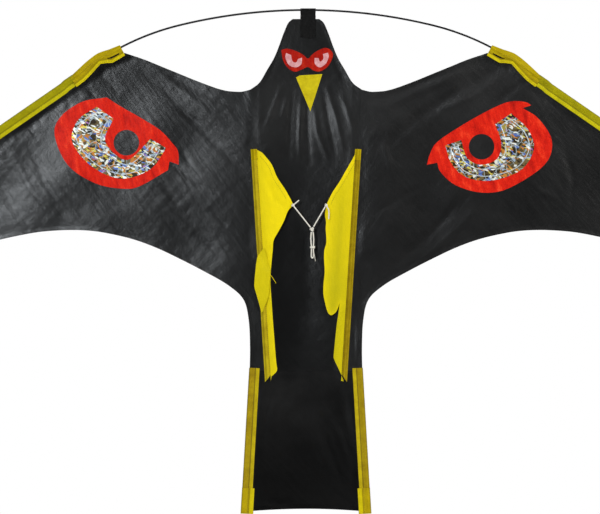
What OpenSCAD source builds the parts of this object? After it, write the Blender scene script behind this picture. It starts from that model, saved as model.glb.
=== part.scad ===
// Hawk-shaped kite that scares birds: a black cloth bird hung on a bent rod.
// X runs across the wings, Z up through the head, and the painted face looks along -Y.
// The origin is the middle of the bow rod, inside the webbing loop on the head.
// Outlines are lists of [x, z] points in the plane of the cloth.

/* [Bow and wing rods] */
// Diameter of the bow and wing rods
spar_d = 3; // [2:0.1:4]
// Radius of the bow over the head
bow_r = 800; // [700:10:1000]
// Slope that the bow reaches where its bend tightens, in degrees
bow_slope = 13.75; // [10:0.25:16]
// Radius of the bow near the shoulders
shoulder_r = 385; // [340:5:460]
// Slope of the bow as it enters the shoulder patch, in degrees
shoulder_slope = 27.7; // [26:0.1:30]
// Radius of the rod inside the shoulder patch
entry_r = 572; // [500:4:680]
// Slope of the straight leading edge, in degrees
wing_slope = 34.6; // [32:0.1:37]
// Length of the straight leading edge, from the shoulder patch bend to the tip
wing_l = 446; // [380:1:520]

/* [Ferrules and caps] */
// Outside diameter of the tube that joins two rods
ferrule_d = 5; // [4.4:0.1:6]
// Length of that tube
ferrule_l = 30; // [20:1:34]
// Length of the rubber cap on a rod's free end
cap_l = 12; // [8:1:20]
// Wall of the cap
cap_wall = 0.7; // [0.5:0.1:1]

/* [Cloth and tape] */
// Thickness of the sail cloth as modelled
cloth_t = 0.5; // [0.4:0.1:0.8]
// Thickness of one layer of edge tape
tape_t = 0.5; // [0.4:0.1:0.8]
// Clearance of the cloth in the folded tape, each side
tape_gap = 0.05; // [0.02:0.01:0.1]
// Radial clearance of a rod in its pocket
rod_gap = 0.2; // [0.1:0.05:0.4]
// Width of the leading edge sleeve
sleeve_w = 17.5; // [16:0.5:24]
// Distance from the sleeve's fold to its stitching
sleeve_stitch = 11.7; // [10:0.1:14]
// Where the shoulder patch ends, along the straight leading edge
patch_end = 18; // [16:1:22]
// Length of the patch that closes the wing tip
tip_patch_l = 38; // [20:1:60]

/* [Tail] */
// Height of the seam between body and tail, below the bow
tail_seam = 541; // [520:1:560]
// Length of the tail below that seam
tail_l = 211; // [190:1:240]
// Half width of the tail at the seam, over the sleeves
tail_half = 85.5; // [80:0.5:95]
// Lean of the tail's edges out of the vertical, in degrees
tail_lean = 3.3; // [1:0.1:6]
// Diameter of the tail battens and keel rods
batten_d = 2.5; // [2:0.1:3]
// Width of the tail sleeve
tail_sleeve_w = 16; // [13:0.5:20]
// Distance from the tail sleeve's fold to its stitching
tail_stitch = 9.5; // [8:0.1:11]
// Length of the patch at the foot of each tail sleeve
tail_patch_l = 36; // [24:1:50]
// How far that patch reaches past the sleeve's width
tail_patch_over = 3; // [0:0.5:6]
// How far the tail's lower edge is hollowed in its middle
tail_hollow = 3.5; // [0:0.5:8]

/* [Keels] */
// Half distance between the keel pockets' outer edges at their tops
keel_half = 83; // [78:0.5:88]
// Height of the keels' tops, below the bow
keel_top = 209; // [190:1:230]
// Length of the keel pockets
keel_l = 349; // [300:1:349]
// Lean of the keels inwards, in degrees
keel_lean = 3.53; // [2:0.05:4]
// Width of the keel pocket tape
pocket_w = 9.5; // [8:0.1:11]
// Gap between a pocket and the hinge line of its fin
fin_gap = 0.4; // [0.3:0.05:0.6]
// Height of the fin's hinge line in front of the middle of the cloth
fin_stand = 0.9; // [0.8:0.05:1.2]
// How far the fin's tip stands in front of its hinge line
fin_rise = 5.1; // [3:0.1:8]

/* [Head and tow line] */
// Width of the webbing loop on the head
tab_w = 23; // [16:1:30]
// How far the webbing reaches down the head
tab_l = 42; // [30:1:60]
// Thickness of the webbing
tab_t = 0.8; // [0.6:0.1:1.2]
// Diameter of the white string
string_d = 2; // [1.5:0.1:2.4]
// Diameter of the knot where the bridle's legs meet
knot_d = 6.6; // [5:0.1:8]
// Diameter of the knot that ties a leg to its fin
tie_d = 4.8; // [4:0.1:6]

/* [Stuck-on patches] */
// Thickness of the red patches
patch_t = 0.3; // [0.2:0.05:0.5]
// Thickness of the foil and of the white irises
foil_t = 0.25; // [0.2:0.05:0.4]
// Diameter of the hole in each wing's eye
pupil_d = 38.4; // [30:0.2:44]

/* [Hidden] */
$fn = 48;
eps = 0.01;

spar_r = spar_d / 2;
front = -cloth_t / 2;
sleeve_r = spar_r + rod_gap + 2 * tape_t - 0.1;
ferrule_r = ferrule_d / 2;
batten_r = batten_d / 2;
tail_r = batten_r + rod_gap + 2 * tape_t - 0.1;
keel_bore = batten_r + rod_gap;
keel_tube = keel_bore + tape_t;
slot_t = cloth_t + 2 * tape_gap;
double_t = slot_t + 2 * tape_t;

// Where the rod's arcs begin and end, on the right half
bow_end = [bow_r * sin(bow_slope), -bow_r * (1 - cos(bow_slope))];
shoulder = bow_end + shoulder_r * [sin(shoulder_slope) - sin(bow_slope),
    cos(shoulder_slope) - cos(bow_slope)];
edge_start = shoulder + entry_r * [sin(wing_slope) - sin(shoulder_slope),
    cos(wing_slope) - cos(shoulder_slope)];
along = [cos(wing_slope), -sin(wing_slope)];
inward = [-sin(wing_slope), -cos(wing_slope)];
ferrule_from = 0;
ferrule_mid = ferrule_from + ferrule_l / 2;
function edge(t, in = 0) = edge_start + along * t + inward * in;

// The tail's rod line, from the seam down and outwards
tail_along = [sin(tail_lean), -cos(tail_lean)];
tail_in = [-cos(tail_lean), -sin(tail_lean)];
tail_start = [tail_half, -tail_seam - 0.5] + tail_in * tail_r;
tail_run = tail_l / cos(tail_lean);

// The keel's outer edge, from its top down and inwards
keel_along = [-sin(keel_lean), -cos(keel_lean)];
keel_in = [-cos(keel_lean), sin(keel_lean)];
keel_start = [keel_half, -keel_top];
keel_run = keel_l / cos(keel_lean);
function keel_x(z, in) = keel_half - in / cos(keel_lean) + (z + keel_top) * tan(keel_lean);
seam_in = pocket_w / 2;
hinge_in = pocket_w + fin_gap;

// A smooth curve through a few points, with n steps between two of them
function blend4(a, b, c, d, t) = 0.5 * (2 * b + (c - a) * t
    + (2 * a - 5 * b + 4 * c - d) * t * t + (3 * b - a - 3 * c + d) * t * t * t);
function smooth(p, n = 4) = [for (i = [0:len(p) - 2]) for (k = [0:n - 1])
    blend4(p[max(i - 1, 0)], p[i], p[i + 1], p[min(i + 2, len(p) - 1)], k / n),
    p[len(p) - 1]];
function flip(p) = [for (q = p) [-q.x, q.y]];
function turned(p) = [for (i = [len(p) - 1:-1:0]) p[i]];

// A fold is [start, end, half width, depth]: a soft hollow along a line in the cloth
function near(p, a, b) = (p - a) * (b - a) / ((b - a) * (b - a));
function fold_depth(p, f) = let (
    u = near(p, f[0], f[1]),
    d = norm(p - f[0] - (f[1] - f[0]) * u),
    ends = (u <= 0 || u >= 1) ? 0 : sin(180 * u)) f[3] * ends * exp(-(d / f[2]) ^ 2);
function fold_sum(p, folds, i = 0) =
    i >= len(folds) ? 0 : fold_depth(p, folds[i]) + fold_sum(p, folds, i + 1);

// Cloth stays flat for a share of its width where tape grips it, then may fold
function flat_edge(u, share, rate) = max(0, min(1, rate * (min(u, 1 - u) - share)));

// A sheet of cloth between two edges a and b, whose lift gives its depth at a point
module cloth(a, b, across, lift) {
    n = len(a);
    m = across + 1;
    flat_pts = [for (i = [0:n - 1]) for (j = [0:across]) a[i] + (b[i] - a[i]) * j / across];
    deep = [for (i = [0:n - 1]) for (j = [0:across])
        lift(flat_pts[i * m + j], i / (n - 1), j / across)];
    pts = [for (s = [-1, 1]) for (k = [0:len(deep) - 1])
        [flat_pts[k].x, deep[k] + s * cloth_t / 2, flat_pts[k].y]];
    k = n * m;
    sheet = [for (i = [0:n - 2]) for (j = [0:across - 1]) let (q = i * m + j)
        each [[q, q + m, q + 1], [q + 1, q + m, q + m + 1],
              [k + q, k + q + 1, k + q + m], [k + q + 1, k + q + m + 1, k + q + m]]];
    ends = [for (j = [0:across - 1]) let (q = (n - 1) * m + j)
        each [[j, j + 1, k + j], [j + 1, k + j + 1, k + j],
              [q, k + q, q + 1], [q + 1, k + q, k + q + 1]]];
    sides = [for (i = [0:n - 2]) let (q = i * m, r = i * m + across)
        each [[q, k + q, q + m], [q + m, k + q, k + q + m],
              [r, r + m, k + r], [r + m, k + r + m, k + r]]];
    polyhedron(pts, concat(sheet, ends, sides));
}

// A flat piece cut to an outline, with its back face at depth y
module cut(outline, y, t) {
    translate([0, y, 0]) rotate([90, 0, 0]) linear_extrude(t) polygon(outline);
}

// A bent rod: an arc about a centre, from one slope to another
module arc_rod(start, r, from, to, rod_r) {
    centre = start - r * [sin(from), cos(from)];
    translate([centre.x, 0, centre.y]) rotate([90, 0, 0]) rotate([0, 0, 90 - to])
        rotate_extrude(angle = to - from) translate([r, 0]) circle(r = rod_r);
}

// A straight rod from a point, in the plane of the cloth
module rod(start, dir, len, rod_r, y = 0) {
    translate([start.x, y, start.y]) rotate([0, atan2(dir.x, dir.y), 0])
        cylinder(h = len, r = rod_r);
}

// A section extruded along a direction: its x points inwards and its y through the cloth
module run(start, dir, len) {
    translate([start.x, 0, start.y]) rotate([0, atan2(dir.x, dir.y), 0])
        linear_extrude(len) children();
}

// A round bar or string swept along points that stay near one plane, seen along Y
module sweep(pts, r, sides) {
    n = len(pts);
    rings = [for (i = [0:n - 1]) let (
        t = pts[min(i + 1, n - 1)] - pts[max(i - 1, 0)],
        d = t / norm(t),
        a = cross(d, [0, 1, 0]),
        s = a / norm(a),
        w = cross(d, s))
        for (k = [0:sides - 1]) pts[i] + r * (s * cos(360 * k / sides) + w * sin(360 * k / sides))];
    skin = [for (i = [0:n - 2]) for (k = [0:sides - 1]) let (
        q = i * sides + k, next = i * sides + (k + 1) % sides)
        each [[q, q + sides, next], [next, q + sides, next + sides]]];
    ends = [[for (k = [0:sides - 1]) k], [for (k = [sides - 1:-1:0]) (n - 1) * sides + k]];
    polyhedron(rings, concat(skin, ends));
}

function arc_points(start, r, from, to, n) = [for (i = [1:n]) let (a = from + (to - from) * i / n)
    start + r * [sin(a) - sin(from), cos(a) - cos(from)]];

module bow_spar() {
    half = concat(arc_points([0, 0], bow_r, 0, bow_slope, 10),
        arc_points(bow_end, shoulder_r, bow_slope, shoulder_slope, 7),
        arc_points(shoulder, entry_r, shoulder_slope, wing_slope, 5), [edge(ferrule_mid)]);
    line = concat(turned(flip(half)), [[0, 0]], half);
    color("#17181a") sweep([for (p = line) [p.x, 0, p.y]], spar_r, 12);
}

module wing_spar() {
    color("#17181a") rod(edge(ferrule_mid + 0.5), along, wing_l - ferrule_mid - 1, spar_r);
}

module ferrule() {
    color("silver") difference() {
        rod(edge(ferrule_from), along, ferrule_l, ferrule_r);
        rod(edge(ferrule_from - eps), along, ferrule_l + 2 * eps, spar_r + 0.05);
    }
}

module spar_cap() {
    color("#101010") difference() {
        rod(edge(wing_l - cap_l), along, cap_l + 1.5, spar_r + cap_wall);
        rod(edge(wing_l - cap_l - eps), along, cap_l - 0.5 + eps, spar_r + 0.05);
    }
}

// Folded tape: a round pocket at the fold and two layers that grip the cloth
module tape_section(width, stitch, pocket_r) {
    difference() {
        union() {
            circle(r = pocket_r);
            translate([0, -double_t / 2]) square([width - pocket_r, double_t]);
        }
        translate([stitch - pocket_r, -slot_t / 2]) square([width, slot_t]);
    }
}

module ferrule_room(extra) {
    rod(edge(ferrule_from - 0.5 - extra / 2), along, ferrule_l + 1 + extra,
        ferrule_r + rod_gap + extra / 2);
}

module wing_sleeve() {
    color("#a8a010") difference() {
        union() {
            run(edge(patch_end), along, wing_l - tip_patch_l - patch_end)
                tape_section(sleeve_w, sleeve_stitch, sleeve_r);
            intersection() {
                ferrule_room(2 * tape_t);
                run(edge(patch_end), along, wing_l) square(40, center = true);
            }
        }
        rod(edge_start, along, wing_l, spar_r + rod_gap);
        ferrule_room(0);
    }
}

// Points of the shoulder patch and of the cloth in it, measured from the bow's shoulder
function by_shoulder(x, z) = shoulder + [x, z];
function mouth(out) = shoulder + out * [sin(shoulder_slope), cos(shoulder_slope)];
shoulder_outline = [mouth(3.4), by_shoulder(17.4, -3), by_shoulder(32.4, -8),
    by_shoulder(41.4, -13.5), by_shoulder(54.4, -24), edge(patch_end, -sleeve_r),
    edge(patch_end, sleeve_w - sleeve_r), by_shoulder(53.4, -49.5), by_shoulder(41.4, -37),
    by_shoulder(30.4, -24.5), by_shoulder(22.4, -23.5), by_shoulder(12.4, -23), mouth(-13.6)];
shoulder_cloth = [by_shoulder(-5.6, -8.4), by_shoulder(22.4, -20.4), by_shoulder(40.4, -32.9),
    by_shoulder(52.4, -42.4)];

module shoulder_patch() {
    color("#c9b410") difference() {
        union() {
            cut(shoulder_outline, double_t / 2, double_t);
            arc_rod(shoulder, entry_r, shoulder_slope, wing_slope, sleeve_r);
            intersection() {
                ferrule_room(2 * tape_t);
                run(edge_start - along * 20, along, patch_end + 20) square(40, center = true);
            }
        }
        arc_rod(shoulder, entry_r, shoulder_slope, wing_slope, spar_r + rod_gap);
        ferrule_room(0);
        cut(concat([by_shoulder(-11.6, -9.4)], shoulder_cloth,
            [edge(patch_end + 5, sleeve_stitch - sleeve_r), by_shoulder(62.4, -69),
            by_shoulder(-11.6, -69)]), slot_t / 2, slot_t);
    }
}

module tip_patch() {
    end = wing_l + 3;
    cap_r = spar_r + cap_wall + rod_gap;
    color("#c9b410") difference() {
        run(edge(wing_l - tip_patch_l), along, end - wing_l + tip_patch_l) union() {
            circle(r = cap_r + 2 * tape_t - 0.1);
            tape_section(sleeve_w, sleeve_stitch, sleeve_r);
        }
        rod(edge_start, along, wing_l, spar_r + rod_gap);
        rod(edge(wing_l - cap_l - 0.5), along, cap_l + 2.2, cap_r);
    }
}

module head_tab() {
    loop_r = spar_r + rod_gap + tab_t;
    flat_y = slot_t / 2 + tab_t;
    color("#1c1c1e") translate([-tab_w / 2 + 3, 0, 0]) rotate([90, 0, 90]) linear_extrude(tab_w)
        difference() {
            polygon(concat([for (a = [0:10:180]) loop_r * [cos(a), sin(a)]],
                [[-flat_y, 3 - head_top], [-flat_y, -tab_l], [flat_y, -tab_l], [flat_y, 3 - head_top]]));
            circle(r = spar_r + rod_gap);
            translate([-slot_t / 2, -tab_l - 1]) square([slot_t, tab_l + 1 - head_top]);
        }
}

// Body panel: the head's outline, then straight seams under the keel pockets
head_top = 13.5;
neck_z = -119.5;
head_side = [[20, -head_top], [27, -20], [34, -36], [40.5, -54], [48, -72], [58.5, -90],
    [70, -109], [keel_x(neck_z, seam_in), neck_z]];
seam_rows = 18;
body_side = concat(smooth(head_side, 2), [for (i = [1:seam_rows])
    let (z = neck_z + (-tail_seam - neck_z) * i / seam_rows) [keel_x(z, seam_in), z]]);
body_folds = [[[-34, -105], [-30, -262], 6, 3.5], [[-12, -128], [-16, -270], 5, 2.5],
    [[12, -150], [18, -292], 6, 3.5], [[24, -100], [46, -258], 6, 3],
    [[-2, -300], [4, -470], 16, 2.5]];

module sail_center() {
    color("#141414") cloth(body_side, flip(body_side), 17, function (p, u, v)
        fold_sum(p, body_folds) * flat_edge(v, 0, 6));
}

// Wing panel: ribs run from the top edge and the leading edge to the trailing edge
feather = [597, -423];
waist = tail_half - 1;
cloth_in = sleeve_stitch - sleeve_r + 0.05;
tip = edge(wing_l + 2.5, cloth_in);

// The top edge is drawn for a shoulder at x = 277.6, the trailing edge for a tip at
// [700.5, -353.8], and the waist for a seam at -541, and each follows where that point goes
function under_bow(x, z) = [keel_half + (x - 83) * (shoulder.x - keel_half) / 194.6, z];
function spread(p) = p + (tip - [700.5, -353.8]) * max(0, (p.x - waist) / 616);
function above_seam(x, z) = [x, -412 + (z + 412) * (tail_seam - 412) / 129];

wing_top = concat(
    smooth([[keel_x(neck_z, seam_in), neck_z], under_bow(96, -122.4), under_bow(104, -122.5),
        under_bow(112, -122), under_bow(120, -121), under_bow(135, -117), under_bow(162, -107),
        under_bow(189, -96), under_bow(216, -85), under_bow(243, -74),
        shoulder_cloth[0] - [0, 0.1]], 2),
    [for (i = [1:3]) shoulder_cloth[i] - [0, 0.1]],
    [edge(patch_end + 5, cloth_in)],
    [for (t = [62, 105, 150, 195, 240, 285, 330, 370, 408]) edge(t * wing_l / 446, cloth_in)],
    [tip]);
side_foot = keel_x(-tail_seam, seam_in);
wing_foot = concat(
    [[side_foot, -tail_seam], [(side_foot + waist) / 2, -tail_seam]],
    smooth([[waist, -tail_seam], above_seam(84, -505), above_seam(86, -465),
        above_seam(94, -434), for (p = [[118, -412], [153, -392], [189, -373.5],
        [225, -356.5], [261, -343.5], [300, -334.5]]) spread(p)], 2),
    [for (p = [[326, -331], [352, -330], [378, -331], [404, -333.5], [434, -339], [468, -347],
        [502, -359.5], [534, -376], [566, -397.5], feather, [624, -399], [650, -378.5],
        [677, -360.5]]) spread(p)],
    [tip + [3, -4]]);
wing_folds = [[[268, -78], [98, -236], 13, 4], [[236, -72], [96, -160], 10, 3],
    [[250, -285], [96, -395], 16, 4], [[170, -265], [92, -310], 13, 3],
    [[398, -150], [404, -322], 12, 3.5], [[452, -186], [470, -334], 13, 3.5],
    [[520, -232], [530, -352], 13, 3], [[592, -282], [582, -392], 13, 3]];

module sail_wing() {
    color("#1b1c1f") cloth(wing_top, wing_foot, 13, function (p, u, v)
        fold_sum(p, wing_folds) * flat_edge(v, 0.077, 7) * flat_edge(u, 0, 12));
}

function tail_x(z) = tail_half - 0.1 - tail_stitch / cos(tail_lean) + (-tail_seam - z) * tan(tail_lean);
tail_cols = 16;
tail_foot_z = -tail_seam - tail_l;
tail_folds = [[[-62, -548], [-80, -660], 9, 3], [[60, -552], [84, -668], 8, 4],
    [[30, -560], [70, -738], 12, 3], [[-40, -735], [44, -742], 6, 2.5]];

module sail_tail() {
    top = [for (i = [0:tail_cols]) let (k = 2 * i / tail_cols - 1)
        [k * tail_x(-tail_seam), -tail_seam]];
    foot = [for (i = [0:tail_cols]) let (k = 2 * i / tail_cols - 1)
        [k * tail_x(tail_foot_z), tail_foot_z + tail_hollow * (1 - k * k)]];
    color("#161617") cloth(top, foot, 14, function (p, u, v)
        fold_sum(p, tail_folds) * flat_edge(u, 0.063, 9) * flat_edge(v, 0, 9));
}

tail_sleeve_run = tail_run - tail_patch_l;

module tail_sleeve() {
    color("#a39a12") difference() {
        run(tail_start, tail_along, tail_sleeve_run - 0.5)
            tape_section(tail_sleeve_w, tail_stitch, tail_r);
        rod(tail_start - tail_along, tail_along, tail_run, batten_r + rod_gap);
    }
}

module tail_patch() {
    color("#c9ac08") difference() {
        run(tail_start + tail_along * tail_sleeve_run, tail_along, tail_patch_l + 3)
            tape_section(tail_sleeve_w + tail_patch_over, tail_stitch, tail_r);
        rod(tail_start, tail_along, tail_run, batten_r + rod_gap);
    }
}

module tail_batten() {
    color("#17181a") rod(tail_start + tail_along * 3, tail_along, tail_run - 3.5, batten_r);
}

module keel_pocket() {
    rod_at = [seam_in, front - keel_tube];
    color("#b5a014") difference() {
        run(keel_start, keel_along, keel_run) difference() {
            union() {
                translate(rod_at) circle(r = keel_tube);
                translate([0, front - 2 * tape_t]) square([pocket_w, 2 * tape_t]);
            }
            translate(rod_at) circle(r = keel_bore);
        }
    }
}

module keel_rod() {
    start = keel_start + keel_in * seam_in + keel_along * 3;
    color("#17181a") rod(start, keel_along, keel_run - 6, batten_r, front - keel_tube);
}

// Fin: ribs run from the hinge line to the free edge, which has the folds of slack cloth.
// An edge point is its distance from the hinge line and its height.
fin_left_edge = [[10.6, -217], [20.5, -232.5], [28, -251], [44, -286], [47, -294], [39, -303],
    [28.5, -324], [18.5, -340.5], [14.5, -352.5], [12, -375], [8.5, -398], [9.5, -424],
    [8.5, -457], [8, -500], [8, -541]];
fin_left_hinge = [213, 227, 244, 276, 292, 304, 324, 340, 353, 375, 398, 424, 457, 500, 544];
fin_right_edge = [[4.5, -220], [11, -243], [24.5, -265.5], [34.5, -286], [36.5, -296], [34.5, -330],
    [36, -352], [37, -376], [35, -418], [28.5, -445], [20, -458], [13, -451], [8, -439],
    [9, -472], [12, -517], [5.5, -541]];
fin_right_hinge = [213, 234, 256, 280, 296, 324, 346, 366, 394, 406, 413, 419, 436, 472, 515, 544];
function off_hinge(d, z) = [keel_x(z, hinge_in) - d, z];

module keel_fin(edge_pts, hinge_z, folds) {
    free = smooth([for (p = edge_pts) off_hinge(p.x, p.y)], 2);
    fixed = [for (z = smooth([for (h = hinge_z) [0, -h]], 2)) [keel_x(z.y, hinge_in), z.y]];
    color("#f0dc14") cloth(fixed, free, 6, function (p, u, v)
        -fin_stand - fin_rise * sin(90 * min(1, (keel_x(p.y, hinge_in) - p.x) / 46))
        - fold_sum(p, folds));
}

fin_left_folds = [[[64, -300], [53, -410], 5, 2.5], [[60, -235], [30, -297], 6, 1.5]];
fin_right_folds = [[[58, -250], [50, -430], 6, 2.5], [[34, -300], [36, -456], 6, 2],
    [[54, -440], [50, -540], 4, 1.5]];

module keel_fin_slack() {
    keel_fin(fin_left_edge, fin_left_hinge, fin_left_folds);
}

module keel_fin_open() {
    keel_fin(fin_right_edge, fin_right_hinge, fin_right_folds);
}

// Bridle: string points are [x, y, z]
tie_left = [-19.5, -8.8, -293];
tie_right = [30, -8.8, -293];
knot_at = [9, -8.8, -329];
loop_knot_at = [9.5, -9, -356];

function between(a, b, from, to, sag, n) = let (d = (b - a) / norm(b - a), l = norm(b - a) - from - to)
    [for (i = [0:n]) a + d * (from + l * i / n) + [0, -sag * sin(180 * i / n), 0]];

module string(pts) {
    sweep(pts, string_d / 2, 8);
}

module bridle_leg_left() {
    color("#e6e2d6") string(between(tie_left, knot_at, tie_d / 2 + 0.3, knot_d / 2 + 0.3, 0.6, 7));
}

module bridle_leg_right() {
    color("#e6e2d6") string(between(tie_right, knot_at, tie_d / 2 + 0.3, knot_d / 2 + 1.4, 0.6, 7));
}

// A knot: a ball with one turn of string round it
module knot(at, d, lean) {
    translate(at) rotate([0, lean, 0]) {
        sphere(r = d / 2 - 0.4);
        rotate_extrude() translate([d / 2 - string_d * 0.4, 0]) circle(r = string_d * 0.4);
    }
}

module leg_tie(at, tag_end) {
    color("#e6e2d6") {
        knot(at, tie_d, 40);
        string(between(at, tag_end, tie_d / 2 + 0.1, 0, 0.5, 3));
    }
}

module bridle_knot() {
    color("#ece8dc") knot(knot_at, knot_d, 75);
}

tow_path = [[8, -8.8, -332.8], [7.4, -8.8, -338], [7.2, -8.9, -344], [7.6, -9, -350],
    [8.1, -9, -355], [8, -9, -361], [7.8, -9, -367], [8.2, -9, -370.5], [9.5, -9, -372],
    [10.8, -9, -370.5], [11.2, -9, -367], [11, -9, -361], [10.9, -9, -355], [11.3, -9, -350],
    [11.4, -8.9, -344], [11, -8.8, -338], [10.4, -8.8, -332.8]];

module tow_loop() {
    color("#e6e2d6") string(tow_path);
}

module loop_knot() {
    turn_r = string_d * 0.4;
    color("#ece8dc") translate(loop_knot_at) rotate_extrude()
        translate([1.4 + string_d / 2 + 0.15 + turn_r, 0]) circle(r = turn_r);
}

// Eyes on the wings, each an uneven almond with two torn-looking corners
eye_left = concat(
    smooth([[-299, -131], [-279, -144], [-249, -161], [-219, -180], [-201, -199], [-192, -212],
        [-191, -232]], 3), [[-205, -227]],
    smooth([[-207, -240], [-249, -264], [-275, -268], [-316, -260], [-357, -233], [-377, -189],
        [-369, -161], [-337, -138], [-299, -131]], 3));
eye_right = concat(
    smooth([[181.5, -232], [186, -216], [198, -197], [242, -168], [285, -145], [308, -137],
        [329, -138], [338, -143]], 3),
    smooth([[325, -147], [349, -163], [369, -196], [358, -232], [305, -267], [265, -274],
        [225, -263], [202, -243], [197, -229]], 3));
pupil_left = [-269.5, -199];
pupil_right = [263.5, -205];
foil_left = concat(
    smooth([[-289, -163], [-301, -197], [-269, -225], [-233, -193]], 5),
    smooth([[-210, -207], [-230, -236], [-261, -251], [-289, -251], [-325, -232], [-351, -197],
        [-342, -165], [-314, -145]], 3));
foil_right = concat(
    smooth([[284, -171], [293, -199], [287, -223], [263, -232], [242, -222], [233, -195]], 3),
    smooth([[209, -203], [217, -228], [235, -248], [262, -256], [292, -253], [325, -238],
        [342, -208], [333, -179], [308, -155]], 3));

module wing_eye(outline, pupil) {
    color("#d92a18") difference() {
        cut(outline, front, patch_t);
        translate([pupil.x, 0, pupil.y]) rotate([90, 0, 0]) cylinder(h = 4, d = pupil_d, center = true);
    }
}

module iris_foil(outline, pupil) {
    color("#b9c4d8") difference() {
        cut(outline, front - patch_t, foil_t);
        translate([pupil.x, 0, pupil.y]) rotate([90, 0, 0])
            cylinder(h = 4, d = pupil_d + 8, center = true);
    }
}

mask_outline = smooth([[-37, -60], [-34.5, -75], [-27, -87], [-16.5, -92.5], [-6, -89], [3, -85.5],
    [12, -91], [22.5, -91.5], [34.5, -82.5], [40.5, -66], [31.5, -57], [19.5, -60], [9, -67],
    [3, -73], [-4.5, -67], [-16.5, -61], [-28.5, -58], [-37, -60]], 3);
iris_left_outline = concat(
    smooth([[-30, -64.5], [-30.8, -72], [-25.5, -82.5], [-15, -86], [-7, -81], [-6, -71.5]], 3),
    smooth([[-12, -73.5], [-15, -78.8], [-20.3, -76.5], [-22.5, -67.5]], 3));
iris_right_outline = concat(
    smooth([[33, -64], [34, -70], [30, -80], [21, -86], [13.5, -81], [12.8, -72]], 3),
    smooth([[18.8, -72], [21, -77.5], [26, -73.5], [25.5, -66]], 3));
beak_outline = [[-15, -101], [-9, -98], [24.5, -96], [6.5, -152]];

module face_mask() {
    color("#d92a18") cut(mask_outline, front, patch_t);
}

module face_iris(outline) {
    color("#e8d4d4") cut(outline, front - patch_t, foil_t);
}

module beak() {
    color("#d8c414") cut(beak_outline, front, patch_t);
}

module left() {
    mirror([1, 0, 0]) children();
}

sail_center();
left() sail_wing();  // sail_wing_left
sail_wing();  // sail_wing_right
sail_tail();
bow_spar();
left() wing_spar();  // wing_spar_left
wing_spar();  // wing_spar_right
left() ferrule();  // ferrule_left
ferrule();  // ferrule_right
left() spar_cap();  // spar_cap_left
spar_cap();  // spar_cap_right
left() wing_sleeve();  // wing_sleeve_left
wing_sleeve();  // wing_sleeve_right
left() shoulder_patch();  // shoulder_patch_left
shoulder_patch();  // shoulder_patch_right
left() tip_patch();  // tip_patch_left
tip_patch();  // tip_patch_right
head_tab();
left() tail_sleeve();  // tail_sleeve_left
tail_sleeve();  // tail_sleeve_right
left() tail_batten();  // tail_batten_left
tail_batten();  // tail_batten_right
left() tail_patch();  // tail_patch_left
tail_patch();  // tail_patch_right
left() keel_pocket();  // keel_pocket_left
keel_pocket();  // keel_pocket_right
left() keel_rod();  // keel_rod_left
keel_rod();  // keel_rod_right
left() keel_fin_slack();  // keel_fin_left
keel_fin_open();  // keel_fin_right
leg_tie(tie_left, [-10.5, -9.5, -285.5]);  // leg_tie_left
leg_tie(tie_right, [34, -11, -314]);  // leg_tie_right
bridle_leg_left();
bridle_leg_right();
bridle_knot();
tow_loop();
loop_knot();
face_mask();
face_iris(iris_left_outline);  // face_iris_left
face_iris(iris_right_outline);  // face_iris_right
beak();
wing_eye(eye_left, pupil_left);  // wing_eye_left
wing_eye(eye_right, pupil_right);  // wing_eye_right
iris_foil(foil_left, pupil_left);  // iris_foil_left
iris_foil(foil_right, pupil_right);  // iris_foil_right
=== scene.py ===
import math

import bpy
import numpy as np
from mathutils import Matrix, Vector, noise
from mathutils.geometry import delaunay_2d_cdt


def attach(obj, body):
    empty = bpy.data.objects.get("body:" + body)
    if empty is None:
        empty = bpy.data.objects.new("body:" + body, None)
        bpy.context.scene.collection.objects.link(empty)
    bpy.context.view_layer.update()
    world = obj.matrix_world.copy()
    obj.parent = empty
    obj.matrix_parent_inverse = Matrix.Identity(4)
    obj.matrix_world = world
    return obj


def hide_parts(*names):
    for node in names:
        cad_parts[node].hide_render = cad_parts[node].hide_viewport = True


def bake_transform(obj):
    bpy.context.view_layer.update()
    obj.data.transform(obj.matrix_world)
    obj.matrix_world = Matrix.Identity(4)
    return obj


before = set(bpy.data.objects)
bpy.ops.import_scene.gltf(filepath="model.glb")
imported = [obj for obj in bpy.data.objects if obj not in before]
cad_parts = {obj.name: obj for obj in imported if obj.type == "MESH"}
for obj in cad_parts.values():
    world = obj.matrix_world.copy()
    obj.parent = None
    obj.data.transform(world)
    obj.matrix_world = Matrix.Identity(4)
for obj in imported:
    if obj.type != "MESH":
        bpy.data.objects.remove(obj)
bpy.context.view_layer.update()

# Camera: it faces the kite square on, as the photograph does. One pixel of the
# photograph covers 1.5 mm of the cloth, and the middle of the bow rod, which is the
# origin, stands at pixel (306, 10).
PIXEL = 0.0015
PHOTO_SIZE = (600, 514)
BOW_PIXEL = (306, 10)
CAMERA_DISTANCE = 4.2
SENSOR = 36
camera = bpy.data.objects.new("camera", bpy.data.cameras.new("camera"))
camera.data.sensor_width = SENSOR
camera.data.lens = SENSOR * CAMERA_DISTANCE / (PHOTO_SIZE[0] * PIXEL)
camera.location = ((PHOTO_SIZE[0] / 2 - BOW_PIXEL[0]) * PIXEL, -CAMERA_DISTANCE,
                   (BOW_PIXEL[1] - PHOTO_SIZE[1] / 2) * PIXEL)
camera.rotation_euler = (math.pi / 2, 0, 0)
bpy.context.collection.objects.link(camera)
bpy.context.scene.camera = camera

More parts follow.
